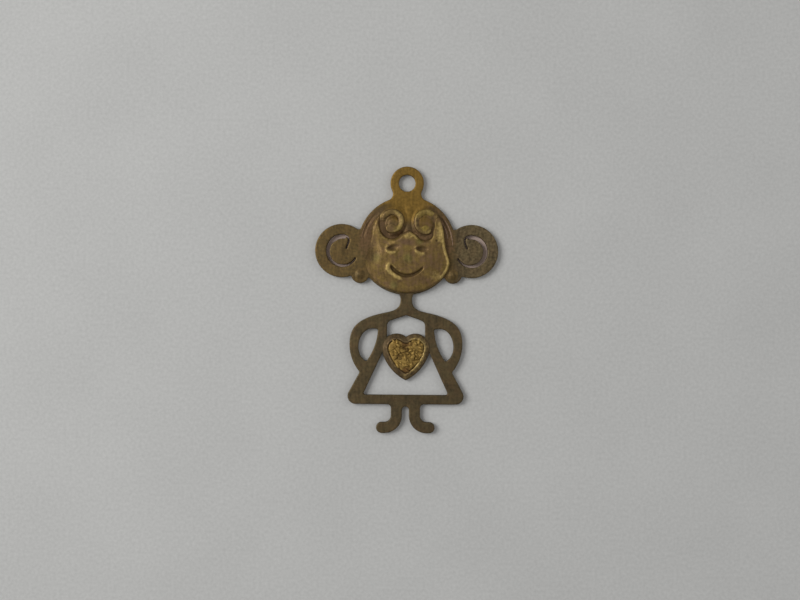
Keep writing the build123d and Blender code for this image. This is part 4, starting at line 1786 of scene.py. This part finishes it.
@dataclass
class HeartSet:
    """The raised heart: a sloped setting with a thin rim and a nugget inlay."""

    pitch: float = 0.09
    base_z: float = 0.77
    foot_z: float = 0.8
    rise: float = 0.45
    slope_w: float = 0.55
    setting_rings: tuple[float, ...] = (0.04, 0.15, 0.3, 0.46, 0.53, 0.6, 0.7, 0.8, 0.86)
    rim_w: float = 0.26
    rim_h: float = 0.06
    rim_roll: float = 0.13
    pocket: float = 0.2
    pocket_wall: float = 0.06

    # The setting's finish, left and right where there are two.
    right_x: Span = (-0.5, 1.8)
    # The rim is rubbed, more strongly and widely on the right: a painted highlight where the pocket's wall
    # faces the light.
    rim_rub_and_highlight: Span = (0.25, 0.75)
    rim_reach: Span = (0.17, 0.37)
    pocket_rub: float = 0.45
    pocket_in: Span = (0.1, 0.25)
    flank_rub: float = 0.38
    flank_in: Span = (0.02, 0.2)
    tip_up: Span = (1.6, 0.5)
    foot_dirt: float = 0.4
    foot_dirt_w: float = 0.12

    # The bed under the nuggets.
    bed_z: float = 1.0
    bed_top: float = 1.24
    bed_rings: tuple[float, ...] = (0.03, 0.08, 0.15)
    bed_edge_r: float = 0.15
    crown_h: float = 0.1
    crown_in: Span = (0.0, 1.5)
    cleft_share: Span = (0.35, 0.1)
    tip_share: Span = (0.3, 0.05)
    ends_w: float = 0.8
    pits: tuple[Spot, ...] = (
        Spot(0.0, -1.45, 0.34),
        Spot(-0.95, -2.15, 0.28),
        Spot(-1.25, -2.65, 0.3),
        Spot(-0.35, -1.1, 0.25),
    )
    clean: float = 0.35
    clean_x: Span = (0.5, -0.8)
    clean_w: float = 0.18
    bed_dirt: float = 0.45
    pit_dirt: float = 0.3

    # Nuggets: sizes, then the least and the most of their scale and turn.
    nugget_r: float = 0.36
    nugget_gap: float = 0.44
    nugget_sink: float = 0.06
    nugget_least: Triple = (0.6, 0.6, 0.4)
    nugget_most: Triple = (1.3, 1.3, 0.75)
    full_turn: float = 6.28
    dent_scale: float = 2600.0
    front_least: float = 0.8
    density: float = 2.0e7
    rounds: int = 3
    seed: int = 7

    def build_setting(self) -> bpy.types.Mesh:
        """Builds the setting's mesh.

        Returns:
            The mesh.
        """
        outline = Outline.under("heart_setting", self.pitch, outer_only=True)
        rules = (self.setting_height, self.setting_masks)
        return Relief(outline, *rules, self.base_z, self.pitch, self.setting_rings).mesh("heart_setting")

    def setting_height(self, places: np.ndarray, inset: np.ndarray) -> np.ndarray:
        """Height of the flank, the rim and the pocket inside it.

        Args:
            places: points of the setting; not used.
            inset: their distances from the outline.

        Returns:
            Heights above the back of the charm.
        """
        flank = self.rise * np.clip(inset / self.slope_w, 0.0, 1.0)
        roll = self.rim_h * bell(inset - self.slope_w - self.rim_w / 2, self.rim_roll)
        inner = self.slope_w + self.rim_w
        wall = ease((inner - self.pocket_wall, inner + self.pocket_wall), inset)
        return self.foot_z + flank + roll - self.pocket * wall

    def setting_masks(self, places: np.ndarray, inset: np.ndarray) -> dict[str, np.ndarray]:
        """A rim and flank rubbed bright on the right, the rim's brightness there also a painted highlight,
        and a dirty foot.

        Args:
            places: points of the setting.
            inset: their distances from the outline.

        Returns:
            Shares by the masks' names.
        """
        beyond = inset - self.slope_w - self.rim_w / 2
        right = ease(self.right_x, places[:, 0])
        reach = between(self.rim_reach, np.where(beyond < 0, right, 0.0))
        tip = ease(self.tip_up, places[:, 1] - places[:, 1].min())
        return {
            Mask.WEAR.value: strongest(
                between(self.rim_rub_and_highlight, right) * bell(beyond, reach),
                self.pocket_rub * ease(self.pocket_in, beyond),
                self.flank_rub * np.maximum(right, tip) * ease(self.flank_in, inset),
            ),
            Mask.GRIME.value: self.foot_dirt * bell(inset, self.foot_dirt_w),
        }

    def build_bed(self) -> bpy.types.Mesh:
        """Builds the low dome that the nuggets sit on.

        Returns:
            The mesh.
        """
        outline = Outline.under("heart_inlay", self.pitch)
        rules = (self.bed_height, self.bed_masks)
        return Relief(outline, *rules, self.bed_z, self.pitch, self.bed_rings).mesh("heart_inlay")

    def bed_height(self, places: np.ndarray, inset: np.ndarray) -> np.ndarray:
        """Height of the nuggets' bed above the back of the charm."""
        return self.bed_top + self.crown_h * ease(self.crown_in, inset) - round_over(inset, self.bed_edge_r)

    def bed_masks(self, places: np.ndarray, inset: np.ndarray) -> dict[str, np.ndarray]:
        """Dirt all over the bed, which shows as pits between the nuggets, redder at the cleft and the tip.

        Args:
            places: points of the bed.
            inset: their distances from the outline.

        Returns:
            Shares by the masks' names.
        """
        x, y = places.T
        height = (y - y.min()) / np.ptp(y)
        ends = ease(self.cleft_share, 1 - height) + ease(self.tip_share, height)
        pits = sum(pit.share(x, y - y.max()) for pit in self.pits)
        clean = self.clean * ease(self.clean_x, x) * bell(inset, self.clean_w)
        return {
            Mask.STAIN.value: np.maximum(ends * bell(x, self.ends_w), pits),
            Mask.GRIME.value: (self.bed_dirt + self.pit_dirt * pits) * (1 - clean),
        }

    def nugget_tree(self, material: bpy.types.Material) -> bpy.types.NodeTree:
        """Geometry nodes that strew nuggets over the bed.

        Args:
            material: the nuggets' finish.

        Returns:
            The tree.
        """
        sheet = NodeSheet.geometry("nuggets", ("Nugget Radius", "Gap", "Sink"), ("Seed",))
        given = sheet.add("NodeGroupInput").outputs
        normal = sheet.add("GeometryNodeInputNormal").outputs[0]
        upward = sheet.add("ShaderNodeSeparateXYZ", {0: normal}).outputs["Z"]
        front = sheet.add("FunctionNodeCompare", {0: upward, 1: self.front_least}, operation="GREATER_THAN")
        strewn = sheet.add(
            "GeometryNodeDistributePointsOnFaces",
            {"Mesh": given["Geometry"], "Selection": front.outputs[0], "Distance Min": given["Gap"],
             "Density Max": self.density, "Seed": given["Seed"]},
            distribute_method="POISSON",
        )
        ball = sheet.add(
            "GeometryNodeMeshIcoSphere", {"Radius": given["Nugget Radius"], "Subdivisions": self.rounds}
        )
        lump = sheet.add("ShaderNodeTexNoise", {"Scale": self.dent_scale, "Detail": 1.0}).outputs["Fac"]
        dent = sheet.math("MULTIPLY", sheet.math("SUBTRACT", lump, 0.5), given["Nugget Radius"])
        push = sheet.add("ShaderNodeVectorMath", {0: normal, "Scale": dent}, operation="SCALE").outputs[0]
        lumpy = sheet.add("GeometryNodeSetPosition", {"Geometry": ball.outputs[0], "Offset": push})
        smooth = sheet.add("GeometryNodeSetShadeSmooth", {"Geometry": lumpy.outputs[0]})
        turn, size = (
            sheet.add(
                "FunctionNodeRandomValue",
                {0: least, 1: most, "Seed": given["Seed"]},
                data_type="FLOAT_VECTOR",
            ).outputs[0]
            for least, most in (
                ((0.0, 0.0, 0.0), (self.full_turn, self.full_turn, self.full_turn)),
                (self.nugget_least, self.nugget_most),
            )
        )
        set_on = sheet.add(
            "GeometryNodeInstanceOnPoints",
            {"Points": strewn.outputs[0], "Instance": smooth.outputs[0], "Rotation": turn, "Scale": size},
        )
        deep = sheet.vector(Z=sheet.math("MULTIPLY", given["Sink"], -1.0))
        sunk = sheet.add(
            "GeometryNodeTranslateInstances",
            {"Instances": set_on.outputs[0], "Translation": deep, "Local Space": False},
        )
        both = sheet.add("GeometryNodeJoinGeometry", {"Geometry": sunk.outputs[0]})
        sheet.tree.links.new(given["Geometry"], both.inputs[0])
        return sheet.close(both.outputs[0], material)

    def build_inlay(self, material: bpy.types.Material) -> bpy.types.Mesh:
        """Builds the inlay: the bed with its nuggets.

        Args:
            material: the nuggets' finish.

        Returns:
            The mesh.
        """
        values = {
            "Nugget Radius": self.nugget_r * MM,
            "Gap": self.nugget_gap * MM,
            "Sink": self.nugget_sink * MM,
            "Seed": self.seed,
        }
        return run_tree(self.build_bed(), self.nugget_tree(material), values, "heart_inlay_nuggets")


@dataclass
class HairStrands:
    """Fine raised strands in the hair band beside the face."""

    dome: HeadDome
    side: Side
    count: int = 2
    inner_r: float = 6.25
    outer_r: float = 6.85
    start: float = 6.0
    sweep: float = 34.0
    shift: float = 0.14
    width: float = 0.13
    end_power: float = 0.35
    end_least: float = 0.15
    steps: int = 40
    sides: int = 10
    seed: int = 3

    # Height of the strands' middle and how strongly they are rubbed, right before left; the right strands'
    # share is a painted highlight for strands that lie in the face's shadow.
    level: Span = (0.79, 0.755)
    rubbed: Span = (0.9, 0.0)

    def tree(self, material: bpy.types.Material) -> bpy.types.NodeTree:
        """Geometry nodes that draw the strands as arcs round the head.

        Args:
            material: the strands' finish.

        Returns:
            The tree.
        """
        numbers = (
            "Inner Radius", "Outer Radius", "Start", "Sweep", "Strand Radius", "Level", "Head", "Rubbed",
        )
        sheet = NodeSheet.geometry("hair_strands", numbers, ("Count", "Seed"))
        given = sheet.add("NodeGroupInput").outputs
        middle = sheet.vector(Y=given["Head"], Z=given["Level"])
        spots = sheet.add(
            "GeometryNodeMeshLine",
            {"Count": given["Count"], "Start Location": middle, "Offset": (0.0, 0.0, 0.0)},
        )
        order = sheet.add("GeometryNodeInputIndex").outputs[0]
        share = sheet.math("DIVIDE", order, sheet.math("SUBTRACT", given["Count"], 1.0))
        radius = sheet.spread(share, (0.0, 1.0), (given["Inner Radius"], given["Outer Radius"]))
        shift = sheet.add(
            "FunctionNodeRandomValue",
            {2: -self.shift, 3: self.shift, "Seed": given["Seed"]},
            data_type="FLOAT",
        ).outputs[1]
        turn = sheet.vector(Z=sheet.math("ADD", given["Start"], shift))
        arc = sheet.add(
            "GeometryNodeCurveArc",
            {"Resolution": self.steps, "Radius": 1.0, "Start Angle": 0.0, "Sweep Angle": given["Sweep"]},
        )
        drawn = sheet.add(
            "GeometryNodeInstanceOnPoints",
            {"Points": spots.outputs[0], "Instance": arc.outputs[0], "Rotation": turn,
             "Scale": sheet.vector(X=radius, Y=radius, Z=1.0)},
        )
        real = sheet.add("GeometryNodeRealizeInstances", {"Geometry": drawn.outputs[0]})
        along = sheet.add("GeometryNodeSplineParameter").outputs["Factor"]
        rise = sheet.math("MULTIPLY", sheet.math("MULTIPLY", along, sheet.math("SUBTRACT", 1.0, along)), 4.0)
        taper = sheet.math("MAXIMUM", sheet.math("POWER", rise, self.end_power), self.end_least)
        thick = sheet.add("GeometryNodeSetCurveRadius", {"Curve": real.outputs[0], "Radius": taper})
        profile = sheet.add(
            "GeometryNodeCurvePrimitiveCircle", {"Resolution": self.sides, "Radius": given["Strand Radius"]}
        )
        tube = sheet.add(
            "GeometryNodeCurveToMesh",
            {"Curve": thick.outputs[0], "Profile Curve": profile.outputs[0], "Fill Caps": True},
        )
        if "Scale" in tube.inputs:
            sheet.tree.links.new(taper, tube.inputs["Scale"])
        smooth = sheet.add("GeometryNodeSetShadeSmooth", {"Geometry": tube.outputs[0]})
        # On the right strands the stored wear is a painted highlight for strands lying in the face's shadow.
        rubbed = sheet.add(
            "GeometryNodeStoreNamedAttribute",
            {"Geometry": smooth.outputs[0], "Name": Mask.WEAR.value, "Value": given["Rubbed"]},
            data_type="FLOAT",
            domain="POINT",
        )
        return sheet.close(rubbed.outputs[0], material)

    def build(self, material: bpy.types.Material) -> bpy.types.Mesh:
        """Builds the strands of one side.

        Args:
            material: the strands' finish.

        Returns:
            The mesh.
        """
        values = {
            "Inner Radius": self.inner_r * MM,
            "Outer Radius": self.outer_r * MM,
            "Start": math.radians(self.side.pick(self.start, 180.0 - self.start - self.sweep)),
            "Sweep": math.radians(self.sweep),
            "Strand Radius": self.width / 2 * MM,
            "Level": self.side.pick(*self.level) * MM,
            "Rubbed": self.side.pick(*self.rubbed),
            "Head": self.dome.head_y * MM,
            "Count": self.count,
            "Seed": self.seed + self.side.value,
        }
        start = bpy.data.meshes.new("hair_start")
        return run_tree(start, self.tree(material), values, f"hair_strands_{self.side.label}")


def run_tree(base: bpy.types.Mesh, tree: bpy.types.NodeTree, values: dict, name: str) -> bpy.types.Mesh:
    """Runs a geometry node tree on a mesh and keeps the result as a plain mesh.

    Args:
        base: the mesh that the tree starts from.
        tree: the tree.
        values: the tree's input names and their values.
        name: name of the new mesh.

    Returns:
        The new mesh.
    """
    carrier = bpy.data.objects.new(f"{name}_carrier", base)
    bpy.context.scene.collection.objects.link(carrier)
    modifier = carrier.modifiers.new("grow", "NODES")
    modifier.node_group = tree
    for item in tree.interface.items_tree:
        if item.in_out == "INPUT" and item.name in values:
            modifier[item.identifier] = values[item.name]
    carrier.update_tag()
    bpy.context.view_layer.update()
    graph = bpy.context.evaluated_depsgraph_get()
    made = bpy.data.meshes.new_from_object(carrier.evaluated_get(graph))
    made.name = name
    carrier.modifiers.clear()
    bpy.data.objects.remove(carrier)
    return made


@dataclass(frozen=True)
class SoftLamp:
    """A square lamp, in metres and watts, by its place from the middle of the charm."""

    name: str
    place: Triple
    size: float
    power: float


@dataclass
class Studio:
    """Pale paper floor, soft light from the left and a camera straight above."""

    dome: HeadDome
    axis_x: float = -0.94
    axis_y: float = -17.48
    front_z: float = 0.8
    distance: float = 166.1
    roll: float = 0.45
    lens: float = 50.0
    sensor: float = 36.0
    clip_m: Span = (0.001, 10.0)

    # The paper, its clouds and fibres, and a warm tint painted on it under the ears: painted light standing
    # in for the light that the brass throws through the slits.
    floor_half: float = 600.0
    floor_z: float = -0.01
    paper: Colour = (0.447, 0.447, 0.436)
    paper_tints: Span = (0.8, 1.2)
    cloud_scale: float = 60.0
    fibre_scale: float = 2200.0
    noise_shares: Span = (0.3, 0.7)
    paper_bump: float = 0.15
    paper_bump_m: float = 0.00005
    paper_rough: float = 0.9
    paper_specular: float = 0.2
    glow: Colour = (1.0, 0.77, 0.67)
    glow_r: Span = (3.19, 2.9)

    # A window on the left, a weaker card on the right and an even room.
    lamps: tuple[SoftLamp, ...] = (
        SoftLamp("window", (-0.36, 0.12, 0.34), 0.30, 2.08),
        SoftLamp("card", (0.40, 0.12, 0.26), 0.25, 0.27),
    )
    room: Colour = (1.0, 1.0, 1.0)
    room_strength: float = 0.40

    def build(self) -> None:
        """Builds the floor, the light and the camera."""
        self.build_floor()
        self.build_light()
        self.build_camera()

    def build_floor(self) -> None:
        """Builds the paper that the charm lies on."""
        half = self.floor_half * MM
        level = self.floor_z * MM
        mesh = bpy.data.meshes.new("paper")
        corners = [(-half, -half, level), (half, -half, level), (half, half, level), (-half, half, level)]
        mesh.from_pydata(corners, [], [(0, 1, 2, 3)])
        mesh.materials.append(self.paper_material())
        floor = bpy.data.objects.new("paper", mesh)
        bpy.context.scene.collection.objects.link(floor)

    def paper_material(self) -> bpy.types.Material:
        """Builds the paper's material.

        Returns:
            The material.
        """
        material = bpy.data.materials.new("pale_paper")
        material.use_nodes = True
        material.node_tree.nodes.clear()
        sheet = NodeSheet(material.node_tree)
        place = sheet.add("ShaderNodeTexCoord").outputs["Object"]
        cloud = sheet.noise(place, self.cloud_scale, 3.0)
        fibre = sheet.noise(place, self.fibre_scale, 3.0)
        clouds = sheet.math("MULTIPLY", cloud, self.noise_shares[0])
        share = sheet.math("MULTIPLY_ADD", fibre, self.noise_shares[1], clouds)
        tint = sheet.mix(share, *(tuple(level * part for part in self.paper) for level in self.paper_tints))
        tint = sheet.mix(self.painted_ear_glow(sheet, place), tint, self.glow, "MULTIPLY")
        bump = sheet.add(
            "ShaderNodeBump", {"Strength": self.paper_bump, "Distance": self.paper_bump_m, "Height": fibre}
        )
        shader = sheet.add(
            "ShaderNodeBsdfPrincipled",
            {"Base Color": tint, "Roughness": self.paper_rough, "Normal": bump.outputs[0],
             "Specular IOR Level": self.paper_specular},
        )
        sheet.add("ShaderNodeOutputMaterial", {"Surface": shader.outputs[0]})
        return material

    def painted_ear_glow(self, sheet: NodeSheet, place: Socket) -> Socket:
        """Painted warm light on the paper under the two ears, standing in for the light that the brass
        throws through its slits.

        Args:
            sheet: the paper's node sheet.
            place: socket that gives the place on the paper.

        Returns:
            A socket with 1 under the ears and 0 elsewhere.
        """
        parts = sheet.add("ShaderNodeSeparateXYZ", {0: place}).outputs
        folded = sheet.vector(X=sheet.math("ABSOLUTE", parts["X"]), Y=parts["Y"])
        ear = (self.dome.ear_x * MM, (self.dome.head_y - self.dome.ear_drop) * MM, 0.0)
        away = sheet.add("ShaderNodeVectorMath", {0: folded, 1: ear}, operation="DISTANCE").outputs["Value"]
        return sheet.spread(away, tuple(reach * MM for reach in self.glow_r))

    def build_light(self) -> None:
        """Builds the lamps and the even room."""
        aim = Vector((0.0, self.axis_y * MM, 0.0))
        for lamp in self.lamps:
            data = bpy.data.lights.new(lamp.name, "AREA")
            data.size = lamp.size
            data.energy = lamp.power
            made = bpy.data.objects.new(lamp.name, data)
            made.location = Vector(lamp.place) + aim
            made.rotation_euler = (aim - made.location).to_track_quat("-Z", "Y").to_euler()
            bpy.context.scene.collection.objects.link(made)
        world = bpy.data.worlds.new("room")
        world.use_nodes = True
        back = world.node_tree.nodes["Background"]
        back.inputs["Color"].default_value = (*self.room, 1.0)
        back.inputs["Strength"].default_value = self.room_strength
        bpy.context.scene.world = world

    def build_camera(self) -> None:
        """Builds the camera, looking straight down with the photograph's small turn."""
        data = bpy.data.cameras.new("camera")
        data.lens = self.lens
        data.sensor_width = self.sensor
        data.clip_start, data.clip_end = self.clip_m
        camera = bpy.data.objects.new("camera", data)
        camera.location = (self.axis_x * MM, self.axis_y * MM, (self.front_z + self.distance) * MM)
        camera.rotation_euler = (0.0, 0.0, math.radians(self.roll))
        bpy.context.scene.collection.objects.link(camera)
        bpy.context.scene.camera = camera


def main() -> None:
    """Builds the charm piece by piece and sets the stage."""
    logging.basicConfig(level=logging.INFO, format="%(name)s: %(message)s")
    bpy.context.scene.view_settings.view_transform = "Standard"
    effects = SharedEffects()
    body, face, curls, hair, setting, nugget = (
        finish.material(effects)
        for finish in (BODY_BRASS, FACE_BRASS, CURL_BRASS, HAIR_BRASS, SETTING_BRASS, INLAY_BRASS)
    )
    dome = HeadDome()
    heart = HeartSet()
    pieces = [
        Piece("plate", PiercedPlate(dome).build(), body, Slot.PLATE, "pierced_plate"),
        Piece("face", PressedFace(dome).build(), face, Slot.FACE, "face_shell"),
        Piece("heart_rim", heart.build_setting(), setting, Slot.SETTING, "heart_setting"),
        Piece("heart_nuggets", heart.build_inlay(nugget), nugget, Slot.INLAY, "heart_inlay"),
    ]
    for side in Side:
        curl = FringeCurl(dome, side)
        stud = EarStud(side)
        strands = HairStrands(dome, side)
        pieces += [
            Piece(f"fringe_{side.label}", curl.build(), curls, Slot.CURLS, curl.node),
            Piece(f"stud_{side.label}", stud.build(), body, Slot.STUDS, stud.node),
            Piece(f"strands_{side.label}", strands.build(hair), hair, Slot.CURLS),
        ]
    for piece in pieces:
        piece.place()
    Studio(dome).build()


if __name__ == "__main__":
    main()
